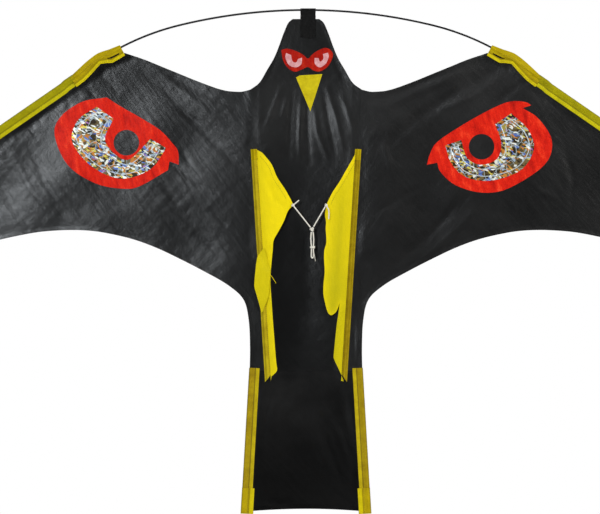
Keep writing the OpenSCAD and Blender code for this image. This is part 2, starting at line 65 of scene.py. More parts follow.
# Bridle: white laid string. Two legs run from knots in the tips of the keel fins to one
# knot, and a tow loop hangs from it, bound by a wrap of the same string.
STRING_R = 0.001
STRING_LAY = 0.008
KNOT_STRING_R = 0.0009
TIE_STRING_R = 0.0008
TAG_R = 0.95 * STRING_R
LEG_SAG = 0.0006
TIE_LEFT = (-0.0195, -0.0088, -0.293)
TIE_RIGHT = (0.030, -0.0088, -0.293)
KNOT_AT = (0.009, -0.0088, -0.329)
LOOP_KNOT_AT = (0.0095, -0.009, -0.356)
TIE_D = 0.0048
KNOT_D = 0.0066
KNOT_LOOSE = 0.0006
KNOT_GAP = 0.0003
OPENED_GAP = 0.0014
WRAP_TURNS = 2.2
WRAP_HALF_W = 0.0031
WRAP_HALF_DEEP = 0.0019
WRAP_L = 0.0026
TOW_PATH = [(0.008, -0.0088, -0.3328), (0.0074, -0.0088, -0.338), (0.0072, -0.0089, -0.344),
            (0.0076, -0.009, -0.350), (0.0081, -0.009, -0.355), (0.008, -0.009, -0.361),
            (0.0078, -0.009, -0.367), (0.0082, -0.009, -0.3705), (0.0095, -0.009, -0.372),
            (0.0108, -0.009, -0.3705), (0.0112, -0.009, -0.367), (0.011, -0.009, -0.361),
            (0.0109, -0.009, -0.355), (0.0113, -0.009, -0.350), (0.0114, -0.0089, -0.344),
            (0.011, -0.0088, -0.338), (0.0104, -0.0088, -0.3328)]


def piece(name, points, faces):
    """A new mesh object whose place is in its mesh."""
    mesh = bpy.data.meshes.new(name)
    mesh.from_pydata([tuple(p) for p in points], [], [tuple(f) for f in faces])
    mesh.validate()
    made = bpy.data.objects.new(name, mesh)
    bpy.context.collection.objects.link(made)
    return made


def only(made):
    """Selects one object alone, for the operators that follow."""
    bpy.ops.object.select_all(action="DESELECT")
    made.select_set(True)
    bpy.context.view_layer.objects.active = made


def shaded(made, material, sharp_over=40):
    """Gives a finished piece its material and smooth shading up to an angle in degrees."""
    made.data.materials.clear()
    made.data.materials.append(material)
    only(made)
    bpy.ops.object.shade_smooth_by_angle(angle=math.radians(sharp_over))
    return made


def through(points, steps):
    """Points of a smooth curve through the given ones, with some steps between two."""
    p = np.array(points, float)
    q = np.vstack([2 * p[0] - p[1], p, 2 * p[-1] - p[-2]])
    line = []
    for a, b, c, d in zip(q, q[1:], q[2:], q[3:]):
        for t in np.arange(steps) / steps:
            line.append(0.5 * (2 * b + (c - a) * t + (2 * a - 5 * b + 4 * c - d) * t * t
                               + (3 * b - a - 3 * c + d) * t ** 3))
    return np.array(line + [p[-1]])


def laid_string(line, radius, sides=15):
    """Points and faces of a string of three strands, twisted round each other."""
    line = np.array(line, float)
    along = np.gradient(line, axis=0)
    along /= np.linalg.norm(along, axis=1)[:, None]
    run = np.concatenate([[0], np.cumsum(np.linalg.norm(np.diff(line, axis=0), axis=1))])
    side = np.cross(along[0], (0.3, 1, 0.2))
    points = []
    for at, way, s in zip(line, along, run):
        side = side - way * side.dot(way)
        side /= np.linalg.norm(side)
        up = np.cross(way, side)
        for a in np.arange(sides) * 2 * math.pi / sides:
            r = radius * (0.88 + 0.16 * abs(math.cos(1.5 * (a + 2 * math.pi * s / STRING_LAY))))
            points.append(at + r * (side * math.cos(a) + up * math.sin(a)))
    faces = [(i * sides + k, i * sides + (k + 1) % sides, (i + 1) * sides + (k + 1) % sides,
              (i + 1) * sides + k) for i in range(len(line) - 1) for k in range(sides)]
    last = (len(line) - 1) * sides
    faces += [tuple(range(sides - 1, -1, -1)), tuple(range(last, last + sides))]
    return points, faces


def strings(name, parts):
    """One object from several strings, each a line and its radius."""
    points, faces = [], []
    for line, radius in parts:
        p, f = laid_string(line, radius)
        faces += [tuple(k + len(points) for k in face) for face in f]
        points += list(p)
    return piece(name, points, faces)


def leg(start, end, from_start, from_end):
    """The line of a bridle leg, which bows a little towards the viewer."""
    a, b = np.array(start), np.array(end)
    way = (b - a) / np.linalg.norm(b - a)
    run = np.linalg.norm(b - a) - from_start - from_end
    return [a + way * (from_start + run * t) + (0, -LEG_SAG * math.sin(math.pi * t), 0)
            for t in np.linspace(0, 1, 60)]


def overhand(at, size, radius, turn):
    """The line of a pulled overhand knot that faces the viewer."""
    unit = (size / 2 - radius) / 3
    t = np.linspace(0, 2 * math.pi, 90)
    x = np.sin(t) + 2 * np.sin(2 * t)
    z = np.cos(t) - 2 * np.cos(2 * t)
    y = -np.sin(3 * t) * 1.05
    c, s = math.cos(turn), math.sin(turn)
    return np.array(at) + unit * np.column_stack([c * x - s * z, y, s * x + c * z])


def tag(start, middle, end, steps=14):
    """The line of a short free end of string."""
    return through([start, middle, end], steps)


def shader(name, colour, roughness, specular=0.5, metallic=0.0):
    """A new material, with the plain values set on its shader's own sockets."""
    made = bpy.data.materials.new(name)
    made.use_nodes = True
    tree = made.node_tree
    surface = tree.nodes["Principled BSDF"]
    surface.inputs["Base Color"].default_value = (*colour, 1)
    surface.inputs["Roughness"].default_value = roughness
    surface.inputs["Specular IOR Level"].default_value = specular
    surface.inputs["Metallic"].default_value = metallic
    return made, tree, surface


def add(tree, kind, *links, **values):
    """A new node: links are (socket, what feeds it), and values are its properties."""
    made = tree.nodes.new(kind)
    for key, value in values.items():
        setattr(made, key, value)
    for socket, source in links:
        if isinstance(source, bpy.types.NodeSocket):
            tree.links.new(source, made.inputs[socket])
        else:
            made.inputs[socket].default_value = source
    return made


def place_on(tree):
    """Object coordinates, which keep a pattern in place on its piece."""
    return add(tree, "ShaderNodeTexCoord").outputs["Object"]


def grain(tree, where, scale, detail=2.0, roughness=0.5):
    """Height or tone between 0 and 1 from a soft noise."""
    return add(tree, "ShaderNodeTexNoise", ("Vector", where), ("Scale", scale),
               ("Detail", detail), ("Roughness", roughness)).outputs["Fac"]


def ramp(tree, tone, *stops, interpolation="LINEAR"):
    """Colours by tone: stops are (place, colour)."""
    made = add(tree, "ShaderNodeValToRGB", ("Fac", tone))
    made.color_ramp.interpolation = interpolation
    while len(made.color_ramp.elements) < len(stops):
        made.color_ramp.elements.new(0.5)
    for element, (place, colour) in zip(made.color_ramp.elements, stops):
        element.position = place
        element.color = (*colour, 1)
    return made.outputs["Color"]


def bumps(tree, surface, *heights):
    """Chained bumps: each is (height, depth in metres)."""
    normal = None
    for height, depth in heights:
        links = [("Height", height), ("Distance", depth), ("Strength", 1.0)]
        if normal is not None:
            links.append(("Normal", normal))
        normal = add(tree, "ShaderNodeBump", *links).outputs["Normal"]
    tree.links.new(normal, surface.inputs["Normal"])


def string_finish():
    """White twisted string, a little grey between its strands."""
    made, tree, surface = shader("string_white", (0.80, 0.77, 0.68), 0.75, 0.3)
    where = place_on(tree)
    tone = grain(tree, where, 900, 3)
    tree.links.new(ramp(tree, tone, (0.3, (0.66, 0.62, 0.52)), (0.7, (0.86, 0.84, 0.77))),
                   surface.inputs["Base Color"])
    bumps(tree, surface, (grain(tree, where, 4000, 2), 0.00012))
    return made


white_string = string_finish()
knot_line = overhand(KNOT_AT, KNOT_D + KNOT_LOOSE, KNOT_STRING_R, 0.4)
left_leg = leg(TIE_LEFT, KNOT_AT, TIE_D / 2 + KNOT_GAP, KNOT_D / 2 + KNOT_GAP)
# The right leg stops a little short of the knot, where the closed chain is opened
right_leg = leg(TIE_RIGHT, KNOT_AT, TIE_D / 2 + KNOT_GAP, KNOT_D / 2 + OPENED_GAP)
tow_line = through(TOW_PATH, 6)

leg_left = strings("string_leg_left", [(left_leg, STRING_R)])
leg_right = strings("string_leg_right", [(right_leg, STRING_R)])
knot = strings("string_knot", [(knot_line, KNOT_STRING_R)])
tie_left = strings("string_tie_left", [
    (overhand(TIE_LEFT, TIE_D + KNOT_LOOSE, TIE_STRING_R, 1.1), TIE_STRING_R),
    (tag(TIE_LEFT, (-0.0155, -0.0097, -0.2898), (-0.0105, -0.0095, -0.2855)), TAG_R)])
tie_right = strings("string_tie_right", [
    (overhand(TIE_RIGHT, TIE_D + KNOT_LOOSE, TIE_STRING_R, -0.6), TIE_STRING_R),
    (tag(TIE_RIGHT, (0.0340, -0.0102, -0.3010), (0.0340, -0.0110, -0.3140)), TAG_R)])

# The wrap goes twice round both strands of the tow loop
turns = np.linspace(0, WRAP_TURNS * 2 * math.pi, 110)
wrap = np.array(LOOP_KNOT_AT) + np.column_stack([
    WRAP_HALF_W * np.cos(turns), WRAP_HALF_DEEP * np.sin(turns),
    WRAP_L / 2 - WRAP_L * turns / turns[-1]])
tow = strings("string_tow_loop", [(tow_line, STRING_R)])
loop_knot = strings("string_loop_wrap", [
    (wrap, TIE_STRING_R),
    (tag((0.0100, -0.0100, -0.3570), (0.0118, -0.0108, -0.3640), (0.0140, -0.0104, -0.3770)),
     0.0004)])

for made, body, node in ((leg_left, "leg_left", "bridle_leg_left"),
                         (leg_right, "leg_right", "bridle_leg_right"),
                         (knot, "knot", "bridle_knot"), (tow, "tow", "tow_loop"),
                         (loop_knot, "tow", "loop_knot"),
                         (tie_left, "fin_left", "leg_tie_left"),
                         (tie_right, "fin_right", "leg_tie_right")):
    shaded(made, white_string)
    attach(made, body)
    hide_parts(node)


# Bow rod: a thin black glass-fibre rod, bent over the head from shoulder to shoulder.
# The two straight wing rods go on from it in their sleeves, joined by metal tubes, with
# rubber caps on their ends; the tail and the keels are held by rods of the same stuff.
ROD_R = 0.0015
BOW_R = 0.800
BOW_SLOPE = math.radians(13.75)
SHOULDER_R = 0.385
SHOULDER_SLOPE = math.radians(27.7)
ENTRY_R = 0.572
WING_SLOPE = math.radians(34.6)
WING_L = 0.446
FERRULE_L = 0.030


def arc(start, radius, first, last, steps):
    """Points on an arc of the bow, between two slopes, after its start."""
    angles = first + (last - first) * np.arange(1, steps + 1) / steps
    return np.array(start) + radius * np.column_stack(
        [np.sin(angles) - math.sin(first), np.cos(angles) - math.cos(first)])


def calc(tree, operation, first, second):
    """One sum on two numbers."""
    return add(tree, "ShaderNodeMath", (0, first), (1, second), operation=operation).outputs[0]


def stretched(tree, where, way, across, down):
    """Coordinates that run long along a direction in the kite's plane, in cycles a metre."""
    a = add(tree, "ShaderNodeVectorMath", (0, where), (1, (way[0], 0, way[1])),
            operation="DOT_PRODUCT").outputs["Value"]
    b = add(tree, "ShaderNodeVectorMath", (0, where), (1, (-way[1], 0, way[0])),
            operation="DOT_PRODUCT").outputs["Value"]
    return add(tree, "ShaderNodeCombineXYZ", ("X", calc(tree, "MULTIPLY", a, down)),
               ("Y", calc(tree, "MULTIPLY", b, across))).outputs[0]


def rod_finish():
    """Black pultruded rod with a faint grain along it and a satin gloss."""
    made, tree, surface = shader("rod_black", (0.006, 0.006, 0.007), 0.34, 0.25)
    where = place_on(tree)
    tone = grain(tree, where, 260, 3)
    tree.links.new(ramp(tree, tone, (0.35, (0.003, 0.003, 0.004)), (0.7, (0.010, 0.010, 0.011))),
                   surface.inputs["Base Color"])
    bumps(tree, surface, (grain(tree, where, 1500, 2), 0.00004))
    return made


def ferrule_finish():
    """Drawn aluminium tube, scuffed along its length."""
    made, tree, surface = shader("ferrule_metal", (0.62, 0.62, 0.64), 0.35, 0.5, 1.0)
    where = place_on(tree)
    fine = grain(tree, stretched(tree, where, (math.cos(WING_SLOPE), -math.sin(WING_SLOPE)),
                                 3000, 90), 1, 2)
    tree.links.new(ramp(tree, fine, (0.3, (0.22,) * 3), (0.7, (0.45,) * 3)),
                   surface.inputs["Roughness"])
    bumps(tree, surface, (fine, 0.00003))
    return made


def rubber_finish():
    """Moulded black rubber with a dull, slightly dusty skin."""
    made, tree, surface = shader("cap_rubber", (0.02, 0.02, 0.02), 0.7, 0.4)
    where = place_on(tree)
    tree.links.new(ramp(tree, grain(tree, where, 300, 4), (0.4, (0.012,) * 3), (0.75, (0.035,) * 3)),
                   surface.inputs["Base Color"])
    bumps(tree, surface, (grain(tree, where, 2500, 3), 0.00008))
    return made


black_rod = rod_finish()
bow_end = arc((0, 0), BOW_R, 0, BOW_SLOPE, 1)[0]
shoulder = arc(bow_end, SHOULDER_R, BOW_SLOPE, SHOULDER_SLOPE, 1)[0]
edge_start = arc(shoulder, ENTRY_R, SHOULDER_SLOPE, WING_SLOPE, 1)[0]
along = np.array([math.cos(WING_SLOPE), -math.sin(WING_SLOPE)])
inward = np.array([-math.sin(WING_SLOPE), -math.cos(WING_SLOPE)])
half_bow = np.vstack([[(0, 0)], arc((0, 0), BOW_R, 0, BOW_SLOPE, 26),
                      arc(bow_end, SHOULDER_R, BOW_SLOPE, SHOULDER_SLOPE, 18),
                      arc(shoulder, ENTRY_R, SHOULDER_SLOPE, WING_SLOPE, 12),
                      [edge_start + along * FERRULE_L / 2]])
bow_line = np.vstack([half_bow[:0:-1] * (-1, 1), half_bow])

bpy.ops.object.select_all(action="DESELECT")
bpy.ops.curve.primitive_nurbs_path_add(location=(0, 0, 0))
bow = bpy.context.object
bow.name = "bow_rod"
bow.data.splines.clear()
spline = bow.data.splines.new("POLY")
spline.points.add(len(bow_line) - 1)
for point, (x, z) in zip(spline.points, bow_line):
    point.co = (x, 0, z, 1)
bow.data.bevel_depth = ROD_R
bow.data.bevel_resolution = 4
bow.data.use_fill_caps = True
bpy.ops.object.convert(target="MESH")
bow = bpy.context.object
shaded(bow, black_rod)
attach(bow, "sail")
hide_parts("bow_spar")

for names, finish in ((("wing_spar", "tail_batten", "keel_rod"), black_rod),
                      (("ferrule",), ferrule_finish()), (("spar_cap",), rubber_finish())):
    for name in names:
        for side in ("left", "right"):
            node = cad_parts[f"{name}_{side}"]
            for place in node.material_slots:
                place.material = finish

# Sail: black plain-woven cloth, cut as a body, two wings and a tail and sewn along the
# keels. The rods hold it along the leading edges and down the tail, the keels hold it in
# the middle, and between them it hangs in soft folds.
CLOTH_T = 0.0003
CLOTH_STEP = 0.0025
CREASE_SHARE = 0.6
WEAVE_SCALE = 500.0
TAIL_SEAM = 0.541
TAIL_L = 0.211
TAIL_HALF = 0.0855
TAIL_LEAN = math.radians(3.3)
TAIL_STITCH = 0.0095
TAIL_HOLLOW = 0.0035
SLEEVE_W = 0.0175
SLEEVE_STITCH = 0.0117
SLEEVE_R = 0.0026
KEEL_HALF = 0.083
KEEL_TOP = 0.209
KEEL_L = 0.349
KEEL_LEAN = math.radians(3.53)
POCKET_W = 0.0095
HINGE_IN = 0.0099
HEM_W = 0.004
cloth_in = SLEEVE_STITCH - SLEEVE_R + 0.00005
waist = TAIL_HALF - 0.001


def edge(t, depth=0.0):
    """A point beside the straight leading edge of the right wing."""
    return edge_start + along * t + inward * depth


def keel_x(z, depth):
    """X of a line beside the right keel pocket's outer edge, at a height."""
    return KEEL_HALF - depth / math.cos(KEEL_LEAN) + (z + KEEL_TOP) * math.tan(KEEL_LEAN)


def tail_x(z):
    """X of the stitch line beside the right edge of the tail, at a height."""
    return (TAIL_HALF - 0.0001 - TAIL_STITCH / math.cos(TAIL_LEAN)
            + (-TAIL_SEAM - z) * math.tan(TAIL_LEAN))


def mm(*points):
    """Points given in millimetres, in metres."""
    return np.array(points, float) * 0.001


def by_shoulder(*points):
    """Points given in millimetres from the right shoulder, in metres."""
    return shoulder + mm(*points)


seam_in = POCKET_W / 2
neck_z = -0.1195
shoulder_cloth = by_shoulder((-5.6, -8.4), (22.4, -20.4), (30.4, -22.6), (40.4, -32.9), (52.4, -42.4))
tip = edge(WING_L + 0.0025, cloth_in)
neck = np.array([keel_x(neck_z, seam_in), neck_z])
seam_foot = np.array([keel_x(-TAIL_SEAM, seam_in), -TAIL_SEAM])
grip_line = np.vstack([shoulder_cloth, [edge(0.023, cloth_in)],
                       [edge(t, cloth_in) for t in np.linspace(0.06, 0.40, 5)], [tip]])
head_side = through(mm((20, -13.5), (27, -20), (34, -36), (40.5, -54), (48, -72), (58.5, -90),
                       (70, -109), tuple(neck * 1000)), 6)
body_side = np.vstack([head_side[:-1], [neck], [seam_foot]])
body_outline = np.vstack([body_side, body_side[::-1] * (-1, 1)])
neck_edge = through(mm(tuple(neck * 1000), (96, -122.4), (104, -122.5), (112, -122),
                       (120, -121), (135, -117), (162, -107), (189, -96), (216, -85),
                       (243, -74), tuple(shoulder_cloth[0] * 1000)), 6)
trailing_edge = through(mm(
    tuple(1000 * np.array([waist, -TAIL_SEAM])), (84, -505), (86, -465), (94, -434),
    (118, -412), (153, -392), (189, -373.5), (225, -356.5), (261, -343.5), (300, -334.5),
    (326, -331), (352, -330), (378, -331), (404, -333.5), (434, -339), (468, -347),
    (502, -359.5), (534, -376), (566, -397.5), (597, -423)), 6)
feather_edge = mm((624, -399), (650, -378.5), (677, -360.5), tuple((tip + (0.003, -0.004)) * 1000))
wing_outline = np.vstack([neck_edge, grip_line[1:], feather_edge[::-1], trailing_edge[::-1],
                          [seam_foot]])
tail_foot_z = -TAIL_SEAM - TAIL_L
tail_foot = [(k * tail_x(tail_foot_z), tail_foot_z + TAIL_HOLLOW * (1 - k * k))
             for k in np.linspace(-1, 1, 25)]
tail_outline = np.vstack([[(-tail_x(-TAIL_SEAM), -TAIL_SEAM)], tail_foot,
                          [(tail_x(-TAIL_SEAM), -TAIL_SEAM)]])

# Creases as (half width, depth, line of x and z), all in millimetres; a minus depth
# stands out towards the viewer
LEFT_CREASES = [
    (8, 1.1, (-318, -86), (-300, -104), (-279, -124)),
    (4, 0.7, (-201, -145), (-178, -158), (-156, -172)),
    (4, 0.8, (-189, -205), (-180, -222), (-171, -238)),
    (5, 0.9, (-219, -259), (-204, -275), (-189, -292)),
    (4, 0.7, (-147, -298), (-117, -325)),
    (5, 1.0, (-171, -334), (-147, -354), (-123, -376)),
    (6, -0.8, (-225, -280), (-160, -345), (-105, -397)),
    (5, -0.6, (-260, -290), (-215, -322), (-180, -352)),
    (6, 0.8, (-262, -78), (-205, -128), (-150, -185), (-98, -236)),
    (5, -0.7, (-236, -84), (-180, -125), (-120, -176)),
    (5, 0.6, (-205, -98), (-150, -128), (-100, -150)),
    (5, 0.7, (-240, -190), (-200, -232), (-160, -262), (-110, -282)),
    (7, -0.9, (-448, -200), (-415, -265), (-372, -320)),
    (6, 0.8, (-420, -195), (-392, -258), (-356, -315)),
    (5, -0.6, (-385, -250), (-352, -298), (-330, -322)),
    (8, 0.9, (-470, -240), (-440, -290), (-415, -322)),
    (10, 1.2, (-520, -232), (-524, -290), (-530, -352)),
    (10, -1.0, (-592, -282), (-588, -340), (-582, -392)),
]
RIGHT_CREASES = [
    (8, 1.5, (303, -82), (258, -106), (225, -124), (170, -160), (120, -205)),
    (5, -0.9, (297, -97), (252, -130), (195, -152)),
    (6, -0.9, (262, -84), (222, -100), (165, -124), (111, -152)),
    (5, 0.8, (240, -82), (200, -98), (150, -118), (100, -138)),
    (6, 1.0, (327, -106), (300, -128), (276, -148)),
    (5, -0.7, (114, -196), (122, -220), (129, -244)),
    (7, 1.1, (246, -274), (192, -331), (126, -388)),
    (6, -0.8, (262, -290), (210, -344), (150, -398)),
    (5, 0.6, (170, -265), (130, -290), (92, -310)),
    (5, -0.5, (330, -250), (352, -272), (380, -285)),
    (5, 0.5, (384, -190), (400, -250), (398, -310)),
    (8, 0.9, (452, -186), (462, -260), (470, -334)),
    (10, 1.2, (520, -232), (524, -290), (530, -352)),
    (10, -1.0, (592, -282), (588, -340), (582, -392)),
]
BODY_CREASES = [
    (3.6, -1.3, (-7, -128), (-10, -187), (-9, -228)),
    (4.4, 1.2, (2, -118), (2, -180), (6, -236)),
    (3.6, -1.2, (13, -146), (17, -183), (34, -228)),
    (3.6, -1.2, (30, -112), (46, -164), (57, -214)),
    (3.6, 1.0, (26, -122), (34, -168), (46, -225)),
    (3.6, -1.0, (52, -124), (62, -152), (72, -186)),
    (3.6, -1.1, (-36, -112), (-50, -150), (-65, -188)),
    (3.6, -0.9, (-27, -128), (-37, -162)),
    (4.4, 0.9, (-20, -112), (-24, -170), (-26, -230)),
    (4.4, 0.7, (-30, -30), (-48, -78), (-60, -112)),
    (4.4, 0.7, (30, -34), (46, -82), (62, -118)),
    (14, 1.0, (-4, -300), (2, -390), (4, -470)),
]
TAIL_CREASES = [
    (6, -1.0, (-58, -556), (-66, -590), (-73, -634)),
    (6, 0.9, (-48, -560), (-58, -602), (-70, -664)),
    (7, -1.1, (58, -560), (69, -600), (77, -650)),
    (6, 0.9, (48, -566), (60, -610), (74, -672)),
    (6, 0.8, (28, -600), (48, -636), (70, -694)),
    (6, -0.7, (18, -620), (38, -666), (58, -720)),
    (5, -0.5, (-66, -737), (-40, -741), (-16, -742)),
]
creases = LEFT_CREASES + RIGHT_CREASES + BODY_CREASES + TAIL_CREASES
rng = np.random.default_rng(7)
for s in (-1, 1):
    # Short puckers square to the sleeve, deeper on the left wing
    t = 0.004
    while t < 0.30:
        length = rng.uniform(0.014, 0.044)
        lean = rng.uniform(-0.35, 0.15)
        top = edge(t, cloth_in + 0.001)
        foot = top + (inward + along * lean) * length
        line = [tuple(np.array(p) * (s, 1) * 1000) for p in (top, (top + foot) / 2, foot)]
        creases.append((rng.uniform(2.2, 4.0), rng.uniform(0.35, 0.85) * (1 if s < 0 else 0.35),
                        *line))
        t += rng.uniform(0.009, 0.017)


def step_up(value, first, last):
    """0 before first, 1 after last, and smooth between them."""
    t = np.clip((value - first) / (last - first), 0, 1)
    return t * t * (3 - 2 * t)


def near_line(x, z, line):
    """Distance of points from a line, and where along it they lie, from 0 to 1."""
    line = np.array(line, float)
    lengths = np.linalg.norm(np.diff(line, axis=0), axis=1)
    before = np.concatenate([[0], np.cumsum(lengths)])
    best = np.full(len(x), 1e9)
    share = np.zeros(len(x))
    for i, size in enumerate(lengths):
        way = (line[i + 1] - line[i]) / size
        t = np.clip((x - line[i][0]) * way[0] + (z - line[i][1]) * way[1], 0, size)
        d = np.hypot(x - line[i][0] - way[0] * t, z - line[i][1] - way[1] * t)
        closer = d < best
        best[closer] = d[closer]
        share[closer] = (before[i] + t[closer]) / before[-1]
    return best, share


def cloth_depth(points):
    """Depth of the sail behind its flat place at x and z, in metres."""
    x, z = np.array(points, float).T
    deep = np.zeros(len(x))
    for half_width, depth, *line in creases:
        line = np.array(line) * 0.001
        w = half_width * 0.001
        close = ((x > line[:, 0].min() - 3 * w) & (x < line[:, 0].max() + 3 * w)
                 & (z > line[:, 1].min() - 3 * w) & (z < line[:, 1].max() + 3 * w))
        if close.any():
            d, share = near_line(x[close], z[close], line)
            taper = np.sin(math.pi * share) ** 0.7
            deep[close] += CREASE_SHARE * depth * 0.001 * taper * np.exp(-(d / w) ** 2)
    # Loose billows, and smaller crumples that are strongest on the left wing's outer part
    soft = np.array([noise.noise((a * 13, 5.0, b * 13)) for a, b in zip(x, z)])
    small = np.array([noise.noise(((a + b) * 34, 2.0, (b - a) * 78)) for a, b in zip(x, z)])
    tiny = np.array([noise.noise((a * 95, 8.0, b * 95)) for a, b in zip(x, z)])
    outer = step_up(-x, 0.30, 0.42)
    left = step_up(-x, 0.08, 0.14)
    deep += 0.0016 * soft + small * (0.00008 + 0.00003 * left + 0.00004 * outer)
    deep += tiny * (0.00002 + 0.00002 * left)
    ax = np.abs(x)
    billow = 0.0028 * np.cos(np.clip(ax / 0.07, 0, 1) * math.pi / 2) * step_up(-z, 0.04, 0.12)
    billow = np.where(ax < 0.07, billow, 0)
    billow = np.where(ax >= 0.09, 0.002 * step_up(ax, 0.09, 0.2), billow)
    deep += billow
    # Rods, tape and seams hold the cloth flat
    held = step_up(near_line(ax, z, grip_line)[0], 0.0, 0.014)
    keel = [(keel_x(-KEEL_TOP + 0.006, seam_in), -KEEL_TOP + 0.006), tuple(seam_foot)]
    held *= step_up(near_line(ax, z, keel)[0], 0.005, 0.017)
    upper_seam = [tuple(neck), keel[0]]
    held *= 0.35 + 0.65 * step_up(near_line(ax, z, upper_seam)[0], 0.001, 0.012)
    tail_line = [(tail_x(-TAIL_SEAM), -TAIL_SEAM), (tail_x(tail_foot_z), tail_foot_z)]
    held *= step_up(near_line(ax, z, tail_line)[0], 0.0, 0.012)
    held *= step_up(near_line(x, z, [(-0.006, -0.014), (0.010, -0.014), (0.002, -0.042)])[0],
                    0.010, 0.050)
    held *= 0.8 + 0.2 * step_up(np.abs(z + TAIL_SEAM), 0.0, 0.040)
    held *= np.where(ax < 0.07, 0.25 + 0.75 * step_up(-z, 0.04, 0.11), 1)
    deep *= held
    # Nothing comes forward under the keel fins
    behind_fins = (ax < 0.075) & (z < -0.2) & (z > -0.56)
    return np.where(behind_fins, np.maximum(deep, 0), deep)


def inside(points, outline):
    """Which points lie inside a closed outline."""
    x, y = points.T
    odd = np.zeros(len(points), bool)
    for (x1, y1), (x2, y2) in zip(outline, np.roll(outline, -1, axis=0)):
        if y1 != y2:
            crosses = (y1 > y) != (y2 > y)
            odd ^= crosses & (x < x1 + (y - y1) * (x2 - x1) / (y2 - y1))
    return odd


def cut(outline, step, holes=()):
    """Points and triangles of a flat sheet inside an outline, fine enough to take folds."""
    loops, points, edges = [np.array(outline)] + [np.array(h) for h in holes], [], []
    for loop in loops:
        first = len(points)
        for a, b in zip(loop, np.roll(loop, -1, axis=0)):
            n = max(1, int(round(np.linalg.norm(b - a) / step)))
            points += [tuple(a + (b - a) * k / n) for k in range(n)]
        count = len(points) - first
        edges += [(first + k, first + (k + 1) % count) for k in range(count)]
    rim = np.array(points)
    low, high = loops[0].min(0), loops[0].max(0)
    rows = np.arange(low[1], high[1], step * 0.87)
    grid = np.array([(x + step / 2 * (i % 2), z) for i, z in enumerate(rows)
                     for x in np.arange(low[0], high[0], step)])
    grid = grid[inside(grid, loops[0])]
    for hole in loops[1:]:
        grid = grid[~inside(grid, hole)]
    clear = np.ones(len(grid), bool)
    for start in range(0, len(rim), 64):
        part = rim[start:start + 64]
        gap = np.linalg.norm(grid[:, None] - part[None], axis=2).min(1)
        clear &= gap > step * 0.62
    points += [tuple(p) for p in grid[clear]]
    made = delaunay_2d_cdt([Vector(p) for p in points], edges, [], 1, 1e-7)
    flat = np.array([tuple(p) for p in made[0]])
    faces = [tuple(f) for f in made[2]]
    for hole in loops[1:]:
        filled = inside(flat[np.array(faces)].mean(1), hole)
        faces = [face for face, dropped in zip(faces, filled) if not dropped]
    return flat, faces


def thickened(made, thickness, offset):
    """Gives a sheet its wall: offset 0 puts half on each side, and -1 all of it inwards."""
    wall = made.modifiers.new("wall", "SOLIDIFY")
    wall.thickness = thickness
    wall.offset = offset
    only(made)
    bpy.ops.object.modifier_apply(modifier="wall")
    return made


def solid_sheet(name, flat, faces, depth, thickness):
    """A closed sheet through flat points at the given depths."""
    made = piece(name, np.column_stack([flat[:, 0], depth, flat[:, 1]]), faces)
    only(made)
    bpy.ops.object.mode_set(mode="EDIT")
    bpy.ops.mesh.select_all(action="SELECT")
    bpy.ops.mesh.normals_make_consistent(inside=False)
    bpy.ops.object.mode_set(mode="OBJECT")
    mesh = made.data
    if sum(p.normal.y * p.area for p in mesh.polygons) > 0:
        mesh.flip_normals()
    return thickened(made, thickness, 0)


def mix(tree, share, first, second, blend="MIX"):
    """Goes from the first colour, at share 0, to the second one or its product, at 1."""
    return add(tree, "ShaderNodeMix", ("Factor", share), (6, first), (7, second),
               data_type="RGBA", blend_type=blend).outputs[2]


def bands(tree, where, scale, direction):
    """Even waves one after another along a direction, as in ribs and weave."""
    return add(tree, "ShaderNodeTexWave", ("Vector", where), ("Scale", scale), wave_type="BANDS",
               bands_direction=direction).outputs["Fac"]


